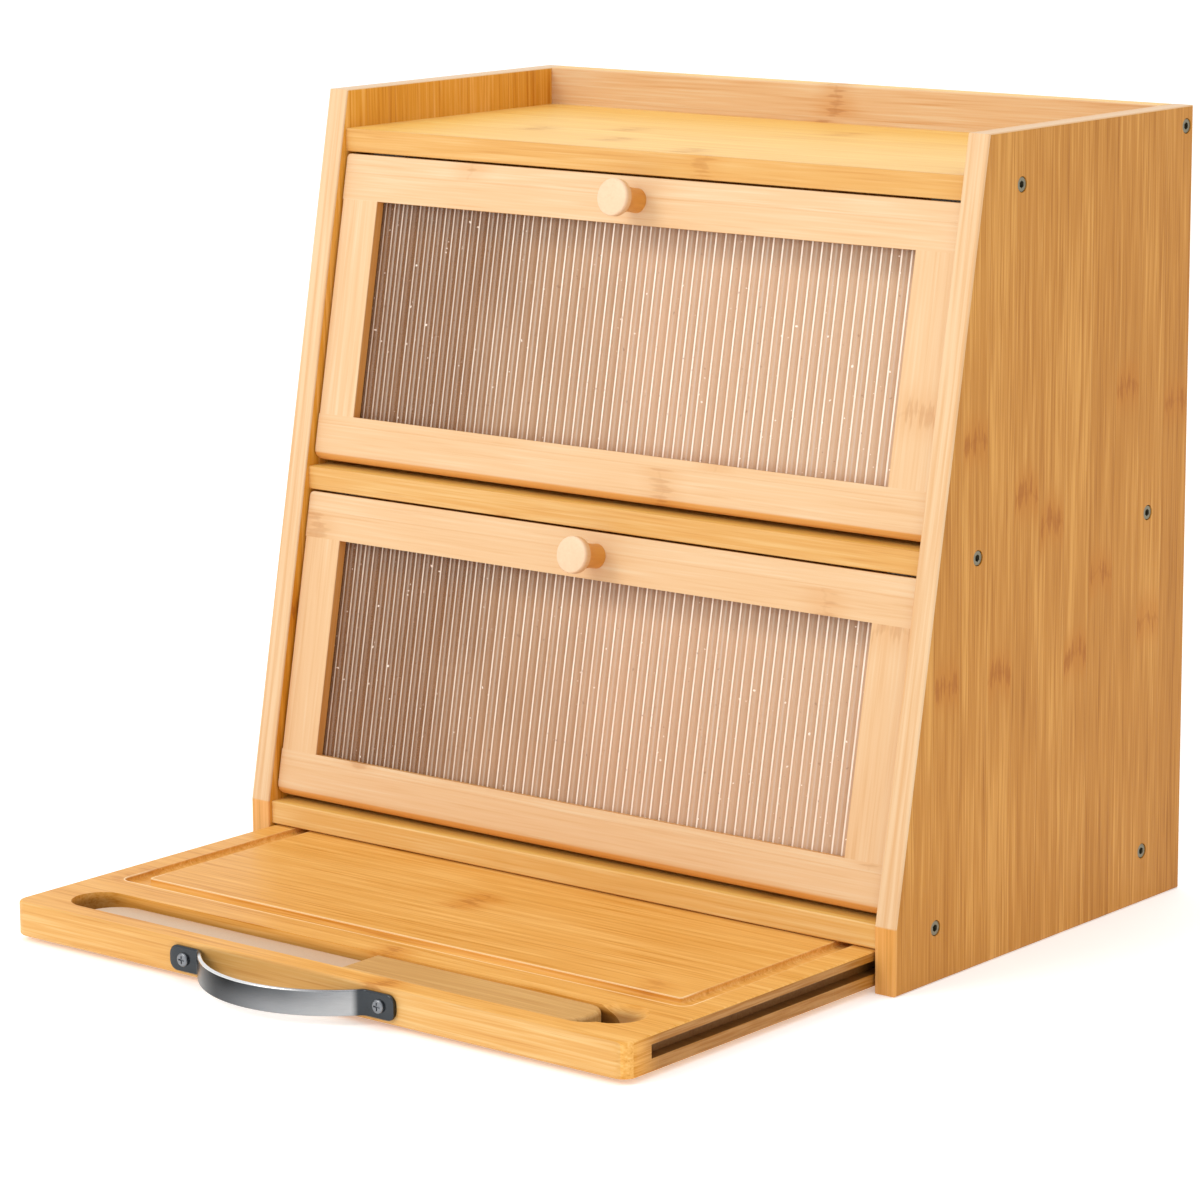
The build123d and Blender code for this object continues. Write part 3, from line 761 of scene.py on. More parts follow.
@dataclass(frozen=True)
class DoorBamboo(Bamboo):
    """Bamboo of a door's frame, with painted shade on the edges behind its face.

    The deeper wood paints shade over the fade behind the face's height, by the share depth.
    """

    face: float = 5.2 * MM
    fade: float = 0.4 * MM
    # share of the deeper wood that paints shade behind the face
    depth: float = 0.75
    # the deeper wood that paints shade on the edges behind the face
    edge_tones: WoodTones = OCHRE

    def face_color(self, g: Graph, parts: Parts, wood: bpy.types.Node) -> bpy.types.NodeSocket:
        """Mix the deeper wood in where the surface lies behind the face: painted shade.

        Args:
            g: the material's graph.
            parts: the coordinates by letter.
            wood: the bamboo group's node.

        Returns:
            The surface's colour.
        """
        # painted shade: deeper wood on every surface behind the face
        shaded_wood = self.wood_node(g, parts, self.edge_tones)
        out = g.times(parts["Y"], -1.0)
        behind = g.minus(1.0, g.smooth(out, self.face - self.fade, self.face))
        behind = g.times(behind, self.depth)
        return g.mix(behind, wood.outputs["Color"], shaded_wood.outputs["Color"])


@dataclass(frozen=True)
class KnobWood(Bamboo):
    """The turned knob's wood: pale on its face, warm orange down its stem.

    rim and face are the heights out of the door between which one wood gives way to the next.
    """

    stem_tones: WoodTones = OCHRE
    rim: tuple[float, float] = (17.5 * MM, 19.0 * MM)
    face: tuple[float, float] = (21.2 * MM, 23.2 * MM)
    pale: str = "EBCFB4"

    def face_color(self, g: Graph, parts: Parts, wood: bpy.types.Node) -> bpy.types.NodeSocket:
        """Mix from the stem's wood to the face's, by the height out of the door.

        Args:
            g: the material's graph.
            parts: the coordinates by letter.
            wood: the bamboo group's node.

        Returns:
            The surface's colour.
        """
        stem = self.wood_node(g, parts, self.stem_tones)
        out = g.times(parts["Y"], -1.0)
        mask = g.smooth(out, *self.face)
        rim = g.mix(g.smooth(out, *self.rim), stem.outputs["Color"], wood.outputs["Color"])
        pale = g.mix(0.55, wood.outputs["Color"], rgb(self.pale))
        rim = g.mix(0.35, rim, rgb(self.tones.glow))
        return g.mix(mask, rim, pale)


def principled(name: str) -> tuple[bpy.types.Material, Graph, bpy.types.Node]:
    """Make a material with one Principled surface.

    Args:
        name: the material's name.

    Returns:
        The material, a graph on its tree and its Principled node.
    """
    material = bpy.data.materials.new(name)
    material.use_nodes = True
    graph = Graph(material.node_tree)
    return material, graph, material.node_tree.nodes["Principled BSDF"]


@dataclass(frozen=True)
class Steel:
    """A metal finish with brushing along one axis.

    Where painted reflections are given, they run along x over the span at the top of the rise, and
    the foot's painted reflections do at its bottom. A painted highlight follows the top edge from
    its start shares on and fades out between its span's shares, given from the span's end back.
    """

    name: str
    color: str
    roughness: float = 0.3
    brushing: tuple[float, float, float] = (1.0, 30.0, 30.0)
    metallic: float = 1.0
    # painted reflections: light and shade along x at the top and at the foot of the rise
    painted_reflections: Stops = ()
    foot_painted_reflections: Stops = ()
    # colour of the painted highlight along the top edge
    lip_highlight: str = "F4F5F6"
    highlight_height: float = 0.7 * MM
    highlight_start: tuple[float, float] = (0.15, 0.19)
    highlight_span: tuple[float, float] = (1.0, 0.0)
    span: tuple[float, float] = (0.0, 1.0)
    rise: tuple[float, float] = (0.0, 1.0)

    def material(self) -> bpy.types.Material:
        """Build the material: roughness and bump from brushing lines, blotches and scratches.

        Returns:
            The material, which reads Object coordinates.
        """
        material, g, surface = principled(self.name)
        where = g.add("TexCoord").outputs["Object"]
        stretched = g.add("VectorMath", {0: where, 1: self.brushing}, operation="MULTIPLY")
        lines = g.noise(stretched.outputs[0], 180.0, 3.0, 0.7)
        wear = g.add("Group")
        wear.node_tree = Groups.get("wear")
        wear.inputs["Scale"].default_value = 90.0
        g.tree.links.new(where, wear.inputs["Vector"])
        base = rgb(self.color)
        # painted reflections, dark to bright along x, and a painted highlight on the top edge
        if self.painted_reflections:
            x, _, z = g.split(where)
            start, end = self.span
            share = g.math("DIVIDE", g.minus(x, start), end - start)
            up = g.smooth(z, *self.rise)
            base = g.mix(up, ramp_of(g, share, self.foot_painted_reflections), ramp_of(g, share, self.painted_reflections))
            begun, left = g.smooth(share, *self.highlight_start), g.smooth(share, *self.highlight_span)
            top = g.math("GREATER_THAN", z, self.rise[1] - self.highlight_height)
            lit = g.times(g.times(begun, left), top)
            base = g.mix(lit, base, rgb(self.lip_highlight))
        tint = g.mix(g.times(lines, 0.3), base, BLACKENED)
        g.tree.links.new(tint, surface.inputs["Base Color"])
        rough = g.linear(g.minus(lines, 0.5), 0.25, self.roughness)
        rough = g.linear(wear.outputs["Blotch"], 0.12, rough)
        rough = g.linear(wear.outputs["Scratch"], 0.15, rough, clamp=True)
        g.tree.links.new(rough, surface.inputs["Roughness"])
        bump = g.add("Bump", {"Height": lines, "Distance": 0.04 * MM, "Strength": 0.25})
        g.tree.links.new(bump.outputs[0], surface.inputs["Normal"])
        surface.inputs["Metallic"].default_value = self.metallic
        return material


def ramp_of(g: Graph, factor: Feed, stops: Stops) -> bpy.types.NodeSocket:
    """A colour ramp's output.

    Args:
        g: the graph.
        factor: the socket that it reads, from 0 to 1.
        stops: position and display colour of each stop.

    Returns:
        The ramp's colour.
    """
    ramp = g.add("ValToRGB", {"Fac": factor})
    elements = ramp.color_ramp.elements
    while len(elements) < len(stops):
        elements.new(0.5)
    for element, (position, code) in zip(elements, stops):
        element.position = position
        element.color = rgb(code)
    return ramp.outputs["Color"]


@dataclass(frozen=True)
class ClearReeded:
    """Clear reeded acrylic, with painted highlight lines and painted shade along its reeds.

    The sheet lies in the door's plane through the pivot and shows up to the height top. A colour
    ramp paints light and shade across it, darker to the left, and a painted shadow lies under the
    top rail. Each stripe is given by its centre, its core's half width and its reach, as shares of
    a reed.
    """

    name: str
    pivot: tuple[float, float, float]
    half_width: float
    top: float
    reeds: int
    # the sheet's tone with painted light and shade: darker to the left, paler to the right
    tone_and_painted_light: Stops = (
        (0.0, "885D3B"), (0.20, "9A6E4B"), (0.38, "C79D79"), (0.56, "E0B592"), (1.0, "E4BC98"),
    )
    # colour of the painted highlight lines
    line: str = "FFF4E8"
    # colour of the painted shade, the painted shadow under the rail and the dark pits
    shade: str = "6B4E3C"
    highlight_stripe: tuple[float, float, float] = (0.17, 0.06, 0.15)
    second_highlight_stripe: tuple[float, float, float] = (0.68, 0.03, 0.13)
    shade_stripe: tuple[float, float, float] = (0.38, 0.04, 0.18)
    # reach of the painted shadow under the top rail
    rail_shadow_reach: tuple[float, float] = (18.0 * MM, 3.0 * MM)
    alpha: float = 0.60
    ior: float = 1.49
    specular: float = 0.2

    def material(self) -> bpy.types.Material:
        """Build the material: each reed has a painted highlight, painted shade and a clear middle.

        Returns:
            A material that is see-through by alpha, with fine scuffs and droplets in its gloss.
        """
        material, g, surface = principled(self.name)
        where = g.add("TexCoord").outputs["Object"]
        mapping = g.add("Mapping", {"Vector": where}, vector_type="TEXTURE")
        mapping.inputs["Location"].default_value = self.pivot
        mapping.inputs["Rotation"].default_value = (-LEAN, 0.0, 0.0)
        x, out, up = g.split(mapping.outputs[0])
        count = g.linear(x, self.reeds / (2 * self.half_width), self.reeds / 2)
        reed = g.math("FLOOR", count)
        sway = g.minus(g.noise(g.join(reed, up, 0.0), 9.0, 1.0), 0.5)
        phase = g.math("FRACT", g.linear(sway, 0.10, count))
        chance = g.add("TexWhiteNoise", {"W": reed}, noise_dimensions="1D").outputs["Value"]
        along = g.noise(g.join(g.times(reed, 0.37), up, 0.0), 34.0, 2.0, 0.6)

        # painted light and shade across the sheet, darker to the left; lit makes the highlight
        # lines stronger to the right
        share = g.linear(x, 0.5 / self.half_width, 0.5)
        lit = g.linear(g.smooth(share, 0.10, 0.45), 0.30, 0.70)
        patch = g.noise(g.join(x, up, 0.0), 13.0, 2.0)
        share = g.linear(g.minus(patch, 0.5), 0.30, share)
        color = ramp_of(g, share, self.tone_and_painted_light)
        # painted shadow under the top rail
        under = g.smooth(g.minus(self.top, up), *self.rail_shadow_reach)
        color = g.mix(g.times(under, 0.45), color, rgb(self.shade))

        # painted shade on each reed's flanks
        dark = self.stripe(g, phase, *self.shade_stripe)
        low = g.smooth(g.math("ABSOLUTE", g.minus(phase, 0.5)), 0.38, 0.47)
        reed_shade = g.math("MAXIMUM", dark, low)
        depth = g.linear(along, 0.45, 0.02)
        color = g.mix(g.times(reed_shade, depth), color, rgb(self.shade))
        # painted highlights: a faint second line and a main line on each reed, the main one
        # stronger to the right
        second = self.stripe(g, phase, *self.second_highlight_stripe)
        gain = g.linear(chance, 0.35, 0.12)
        color = g.mix(g.times(second, gain), color, rgb(self.line))
        reed_highlight = self.stripe(g, phase, *self.highlight_stripe)
        gain = g.linear(along, 0.7, 0.45, clamp=True)
        reed_highlight = g.times(g.times(reed_highlight, gain), lit)
        color = g.mix(reed_highlight, color, rgb(self.line))
        drops = g.smooth(g.noise(g.join(x, up, out), 400.0, 1.0, 0.5), 0.75, 0.80)
        pits = g.smooth(g.noise(g.join(x, up, out), 380.0, 1.0, 0.5), 0.27, 0.22)
        color = g.mix(g.times(drops, 0.7), color, rgb(self.line))
        color = g.mix(g.times(pits, 0.6), color, rgb(self.shade))
        g.tree.links.new(color, surface.inputs["Base Color"])

        alpha = g.linear(reed_highlight, 0.38, self.alpha)
        alpha = g.linear(reed_shade, 0.12, alpha)
        alpha = g.linear(g.plus(drops, pits), 0.3, alpha, clamp=True)
        g.tree.links.new(alpha, surface.inputs["Alpha"])
        rough = g.linear(drops, 0.2, g.linear(along, 0.10, 0.08))
        g.tree.links.new(rough, surface.inputs["Roughness"])
        surface.inputs["IOR"].default_value = self.ior
        surface.inputs["Specular IOR Level"].default_value = self.specular
        return material

    @staticmethod
    def stripe(
        g: Graph, phase: Feed, centre: float, core: float, reach: float
    ) -> bpy.types.NodeSocket:
        """A stripe of one within a core's distance of its centre, fading to zero at its reach."""
        away = g.math("ABSOLUTE", g.minus(phase, centre))
        return g.minus(1.0, g.smooth(away, core, reach))


@dataclass(frozen=True)
class Moulded:
    """Matt moulded plastic."""

    name: str
    color: str
    roughness: float = 0.5

    def material(self) -> bpy.types.Material:
        """Build the material: a fine grain in colour, roughness and bump.

        Returns:
            The material, which reads Object coordinates.
        """
        material, g, surface = principled(self.name)
        where = g.add("TexCoord").outputs["Object"]
        grain = g.noise(where, 1400.0, 2.0)
        color = g.mix(g.times(grain, 0.25), rgb(self.color), WARM_GREY)
        g.tree.links.new(color, surface.inputs["Base Color"])
        rough = g.linear(grain, 0.2, self.roughness - 0.1)
        g.tree.links.new(rough, surface.inputs["Roughness"])
        bump = g.add("Bump", {"Height": grain, "Distance": 0.05 * MM})
        g.tree.links.new(bump.outputs[0], surface.inputs["Normal"])
        return material


# ---------------------------------------------------------------------- surfaces
def mesh_piece(
    name: str, points: np.ndarray, faces: Sequence[Sequence[int]],
    material: bpy.types.Material, smooth_below: float = 40.0,
) -> bpy.types.Object:
    """Make a piece from points and faces.

    Args:
        name: the piece's name.
        points: n by 3 array, in metres.
        faces: index tuples, facing outwards.
        material: the piece's finish.
        smooth_below: edges that turn less than this many degrees are shaded smooth.

    Returns:
        The new object, at the origin.
    """
    mesh = bpy.data.meshes.new(name)
    mesh.from_pydata(np.asarray(points, float).tolist(), [], [tuple(map(int, f)) for f in faces])
    mesh.validate()
    mesh.shade_smooth()
    mesh.set_sharp_from_angle(angle=math.radians(smooth_below))
    mesh.materials.append(material)
    piece = bpy.data.objects.new(name, mesh)
    bpy.context.scene.collection.objects.link(piece)
    return piece


def grid_faces(rows: int, columns: int, start: int = 0, wrap: bool = False) -> np.ndarray:
    """The quads of a grid of points numbered row by row.

    Args:
        rows: number of rows of points.
        columns: number of points in a row.
        start: number of the first point.
        wrap: join the last column to the first.

    Returns:
        m by 4 array of point numbers; with rows up and columns to the right, they face the viewer.
    """
    index = start + np.arange(rows * columns).reshape(rows, columns)
    right = np.roll(index, -1, axis=1) if wrap else index[:, 1:]
    left = index if wrap else index[:, :-1]
    quads = np.stack([left[:-1], right[:-1], right[1:], left[1:]], axis=-1)
    return quads.reshape(-1, 4)


def closed_sheet(
    name: str, front: np.ndarray, back: np.ndarray,
    material: bpy.types.Material, smooth_below: float = 40.0,
) -> bpy.types.Object:
    """Make a solid from two facing grids joined round their borders.

    Args:
        name: the piece's name.
        front: rows by columns by 3 points; with rows up and columns right it faces the viewer.
        back: the same grid on the far side.
        material: the piece's finish.
        smooth_below: as in mesh_piece.

    Returns:
        The new object.
    """
    rows, columns = front.shape[:2]
    size = rows * columns
    index = np.arange(size).reshape(rows, columns)
    border = np.concatenate([index[0], index[1:, -1], index[-1, -2::-1], index[-2:0:-1, 0]])
    following = np.roll(border, -1)
    rim = np.stack([border, border + size, following + size, following], axis=-1)
    faces = np.concatenate([
        grid_faces(rows, columns), grid_faces(rows, columns, size)[:, ::-1], rim])
    points = np.concatenate([front.reshape(-1, 3), back.reshape(-1, 3)])
    return mesh_piece(name, points, faces, material, smooth_below)


def turned(
    name: str, profile: np.ndarray, segments: int,
    place: Callable[[np.ndarray], np.ndarray], material: bpy.types.Material,
) -> bpy.types.Object:
    """Make a turned piece: radius and height along a profile, carried round the axis.

    Point (i, j) is (r_i cos a_j, r_i sin a_j, h_i), where a_j runs once round. The first and the
    last point of the profile lie on the axis and become poles.

    Args:
        name: the piece's name.
        profile: n by 2 array of radius and height, from the base to the top.
        segments: points round the axis.
        place: function from local points to the frame.
        material: the piece's finish.

    Returns:
        The new object.
    """
    angle = np.linspace(0.0, 2 * np.pi, segments, endpoint=False)
    radius, height = profile[1:-1, 0], profile[1:-1, 1]
    ring = np.stack([np.cos(angle), np.sin(angle)], axis=-1)
    level = np.broadcast_to(height[:, None, None], (len(radius), segments, 1))
    body = np.concatenate([radius[:, None, None] * ring[None], level], axis=-1).reshape(-1, 3)
    poles = np.array([[0, 0, profile[0, 1]], [0, 0, profile[-1, 1]]])
    first, last = len(body), len(body) + 1
    around = np.arange(segments)
    after = np.roll(around, -1)
    top = (len(radius) - 1) * segments
    faces = [tuple(f) for f in grid_faces(len(radius), segments, wrap=True)]
    faces += [(first, b, a) for a, b in zip(around, after)]
    faces += [(last, top + a, top + b) for a, b in zip(around, after)]
    points = place(np.concatenate([body, poles]))
    return mesh_piece(name, points, faces, material, smooth_below=50.0)


def carried(
    name: str, path: np.ndarray, across: np.ndarray, section: np.ndarray,
    material: bpy.types.Material,
) -> bpy.types.Object:
    """Make a bar: a section carried along a path, closed at both ends.

    Point (i, j) is path_i + section_ij0 * across_i + section_ij1 * (0, 0, 1).

    Args:
        name: the piece's name.
        path: n by 3 points of the middle line.
        across: n by 3 unit vectors square to the path and level.
        section: n by m by 2 offsets along across and upwards, counter-clockwise about the path.
        material: the piece's finish.

    Returns:
        The new object.
    """
    up = np.array([0.0, 0.0, 1.0])
    points = (
        path[:, None] + section[..., :1] * across[:, None] + section[..., 1:] * up
    ).reshape(-1, 3)
    rows, columns = section.shape[:2]
    faces = [tuple(f) for f in grid_faces(rows, columns, wrap=True)]
    faces.append(tuple(range(columns - 1, -1, -1)))
    faces.append(tuple(range((rows - 1) * columns, rows * columns)))
    return mesh_piece(name, points, faces, material, smooth_below=35.0)


def recalculated(piece: bpy.types.Object) -> bpy.types.Object:
    """Turn a closed piece's faces outwards.

    Args:
        piece: the piece, whose seams are already closed.

    Returns:
        The same piece.
    """
    mesh = bmesh.new()
    mesh.from_mesh(piece.data)
    bmesh.ops.recalc_face_normals(mesh, faces=mesh.faces)
    mesh.to_mesh(piece.data)
    mesh.free()
    return piece


class DoorPlane:
    """One door's own plane: x along the hinge, y up the slope, z out of the face."""

    def __init__(self, joint: dict) -> None:
        """Take the hinge's place from its joint, and the axes from the doors' lean.

        Args:
            joint: the hinge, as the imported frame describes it.
        """
        self.origin = np.array(joint["pos_m"], float)
        self.axes = np.array([
            [1.0, 0.0, 0.0],
            [0.0, math.sin(LEAN), math.cos(LEAN)],
            [0.0, -math.cos(LEAN), math.sin(LEAN)],
        ])

    def place(self, local: np.ndarray) -> np.ndarray:
        """Local points, n by 3, in the frame."""
        return self.origin + np.asarray(local, float) @ self.axes

    def extent(self, node: bpy.types.Object) -> tuple[np.ndarray, np.ndarray]:
        """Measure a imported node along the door's own axes.

        Args:
            node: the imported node.

        Returns:
            Its lowest and its highest local coordinates.
        """
        points = np.empty(len(node.data.vertices) * 3, np.float32)
        node.data.vertices.foreach_get("co", points)
        local = (points.reshape(-1, 3) - self.origin) @ self.axes.T
        return local.min(axis=0), local.max(axis=0)


# ---------------------------------------------------------------------- the object
class Finish(Protocol):
    """Anything that can build a material."""

    def material(self) -> bpy.types.Material:
        """Build the material."""


def dress(frame: dict, nodes: Sequence[str], finish: Finish) -> None:
    """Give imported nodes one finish.

    Args:
        nodes: names of the nodes.
        finish: what they are dressed in.
    """
    material = finish.material()
    for name in nodes:
        mesh = frame["nodes"][name].data
        mesh.materials.clear()
        mesh.materials.append(material)
        LOG.info("dressed %s in %s", name, material.name)


def seat(piece: bpy.types.Object, body: str, slot: str, *nodes: str) -> None:
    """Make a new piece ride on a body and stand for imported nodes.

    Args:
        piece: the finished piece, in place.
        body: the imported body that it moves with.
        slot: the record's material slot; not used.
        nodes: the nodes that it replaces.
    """
    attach(piece, body)
    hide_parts(*nodes)
    LOG.info("laid %s over %s", piece.name, ", ".join(nodes))


@dataclass
class Carcass:
    """Side panels, shelves, back, rail, runners and what fastens them.

    The right panel's node marks are given as their heights, one for each strip from the front.
    """

    frame: dict
    height: float = 366.0 * MM
    strips_from: float = -30.0 * MM
    marks: tuple[float, ...] = (
        0.346, 0.346, 0.132, 0.235, 0.129, 0.206, 0.192, 0.128, 0.162, 0.245, 0.135, 0.233)

    def build(self) -> None:
        """Dress every carcass node."""
        right = SideBamboo(
            "side_bamboo_right", AMBER, Lay.SIDE, knots=self.marks, knots_from=self.strips_from,
            knot_spacing=self.height, knot_strength=0.9, fibre_contrast=0.85, specular=0.15,
        )
        left = SideBamboo(
            "side_bamboo_left", CARAMEL, Lay.SIDE, seed=3.0, fibre_contrast=0.85)
        dress(self.frame, ["right_side_panel"], right)
        dress(self.frame, ["left_side_panel"], left)
        shelves = ("top_shelf", "middle_shelf", "bottom_shelf")
        for seed, node in enumerate(shelves):
            finish = FrontedBamboo(
                f"{node}_bamboo", HONEY, Lay.FLAT, seed=5.0 + seed, strip_contrast=0.16,
                fibre_contrast=0.7, knot_strength=0.45, front=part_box(node)[0][1],
                front_tones=STRAW if node == "bottom_shelf" else WHEAT)
            dress(self.frame, [node], finish)
        dress(self.frame, ["back_panel"], Bamboo("back_bamboo", OCHRE, Lay.STILE, seed=9.0))
        rail = FrontedBamboo(
            "rail_bamboo", HONEY, Lay.RAIL, seed=11.0, front=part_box("back_rail")[0][1],
            front_tones=PEACH)
        dress(self.frame, ["back_rail"], rail)
        runners = ["left_board_runner", "right_board_runner"]
        dress(self.frame, runners, Bamboo("runner_bamboo", OCHRE, Lay.RAIL, seed=12.0))
        screws = ["left_side_screws", "right_side_screws", "catch_screws"]
        dress(self.frame, screws, Steel("screw_steel", "8C8672", 0.42))
        dress(self.frame, ["catch_magnets"], Steel("magnet_steel", "C8C8CC", 0.2))
        catches = ["upper_magnet_catches", "lower_magnet_catches"]
        dress(self.frame, catches, Moulded("catch_plastic", "D9D4C8"))


@dataclass
class Door:
    """One drop-down door: its framed reeded window and its turned knob."""

    frame: dict
    name: str
    seed: float
    reeds: int = 60
    reed_points: int = 14
    reed_height: float = 0.7 * MM
    rebate: float = 4.5 * MM
    knob_rim: float = 4.6 * MM
    knob_corner: float = 0.9 * MM
    knob_crown: float = 0.7 * MM
    knob_stem: float = 5.7 * MM
    knob_flare: float = 2.6
    knob_waist: float = 0.25 * MM
    stem_points: int = 24
    corner_points: int = 7
    dome_points: int = 16
    knob_segments: int = 72

    def __post_init__(self) -> None:
        """Find the door's plane from its hinge."""
        joint = next(j for j in self.frame["joints"] if j["child"] == self.name)
        self.plane = DoorPlane(joint)
        self.pivot = tuple(joint["pos_m"])

    def wood(self, part: str, lay: Lay, seed: float, kind: type[Bamboo] = DoorBamboo) -> Bamboo:
        """The finish of one wooden member of the door.

        Args:
            part: the member's name.
            lay: which way its fibres run.
            seed: its own number for the pattern, added to the door's.
            kind: the class of the finish.

        Returns:
            The finish, turned into the door's plane.
        """
        return kind(
            f"{self.name}_{part}_bamboo", PEACH, lay, seed=self.seed + seed, strip_width=0.024,
            tilt=-LEAN, pivot=self.pivot, knot_strength=0.45, strip_contrast=0.14,
            fibre_contrast=0.55, cloud=0.25,
        )

    def build(self) -> None:
        """Dress the frame, and lay the window, knob and fittings."""
        for seed, part in enumerate(("top_rail", "bottom_rail")):
            dress(self.frame, [f"{self.name}_{part}"], self.wood(part, Lay.RAIL, seed))
        for seed, part in enumerate(("left_stile", "right_stile")):
            dress(self.frame, [f"{self.name}_{part}"], self.wood(part, Lay.STILE, 4.0 + seed))
        self.lay_window()
        self.turn_knob()
        fittings = [f"{self.name}_{part}" for part in (
            "knob_screw", "strike_plates", "strike_screws", "hinge_pins")]
        dress(self.frame, fittings, Steel(f"{self.name}_steel", "B9B6B0", 0.3))

    def lay_window(self) -> None:
        """Lay the reeded sheet over its node.

        The face stands at top - height * (2 p - 1)^2, where p runs from 0 to 1 over each reed,
        and the back is flat.
        """
        node = f"{self.name}_window"
        low, high = self.plane.extent(self.frame["nodes"][node])
        half = high[0]
        x = np.linspace(-half, half, self.reeds * self.reed_points + 1)
        phase = np.mod(np.arange(len(x)) / self.reed_points, 1.0)
        out = high[2] - self.reed_height * (2 * phase - 1) ** 2
        heights = np.array([low[1], high[1]])
        front = np.stack(np.broadcast_arrays(x[None], heights[:, None], out[None]), axis=-1)
        back = front.copy()
        back[..., 2] = low[2]
        finish = ClearReeded(
            f"{self.name}_acrylic", self.pivot, float(half), float(high[1] - self.rebate),
            self.reeds)
        sheet = closed_sheet(
            f"{self.name}_reeded_window", self.spread(front), self.spread(back),
            finish.material(), smooth_below=25.0)
        seat(recalculated(sheet), self.name, "clear_acrylic", node)

    def spread(self, grid: np.ndarray) -> np.ndarray:
        """A grid of local points in the frame."""
        return self.plane.place(grid.reshape(-1, 3)).reshape(grid.shape)

    def turn_knob(self) -> None:
        """Turn the knob: a waisted stem under a rounded rim and a faintly domed face.

        Over the stem's height t from 0 to 1 its radius is stem + (rim - stem) * t^flare, less a
        waist * sin(pi t). The rim's corners are quarter circles, and the face rises by
        crown * (1 - (r / R)^2).
        """
        node = f"{self.name}_knob"
        low, high = self.plane.extent(self.frame["nodes"][node])
        centre = (low + high) / 2
        radius, base, top = high[0], low[2], high[2]
        rim, corner, crown = self.knob_rim, self.knob_corner, self.knob_crown
        t = np.linspace(0.0, 1.0, self.stem_points)
        stem_height = top - crown - rim - base
        flare = (radius - corner - self.knob_stem) * t ** self.knob_flare
        stem_r = self.knob_stem + flare - self.knob_waist * np.sin(np.pi * t)
        parts = [np.stack([stem_r, base + stem_height * t], axis=-1)]
        turn = np.linspace(-QUARTER_TURN, 0.0, self.corner_points)
        lower = [radius - corner, top - crown - rim + corner]
        upper = [radius - corner, top - crown - corner]
        parts.append(lower + corner * np.stack([np.cos(turn), np.sin(turn)], axis=-1))
        turn = np.linspace(0.0, QUARTER_TURN, self.corner_points)
        parts.append(upper + corner * np.stack([np.cos(turn), np.sin(turn)], axis=-1))
        share = np.linspace(0.97, 0.03, self.dome_points)
        flat = radius - corner
        dome = top - crown + crown * (1 - share ** 2)
        parts.append(np.stack([flat * share, dome], axis=-1))
        profile = np.concatenate([[[0.0, base]], *parts, [[0.0, top]]])

        def place(local: np.ndarray) -> np.ndarray:
            """Points about the knob's axis, in the frame."""
            return self.plane.place(local + [centre[0], centre[1], 0.0])

        finish = self.wood("knob", Lay.TURNED, 8.0, KnobWood)
        knob = turned(
            f"{self.name}_turned_knob", profile, self.knob_segments, place, finish.material())
        seat(recalculated(knob), self.name, "knob_wood", node)


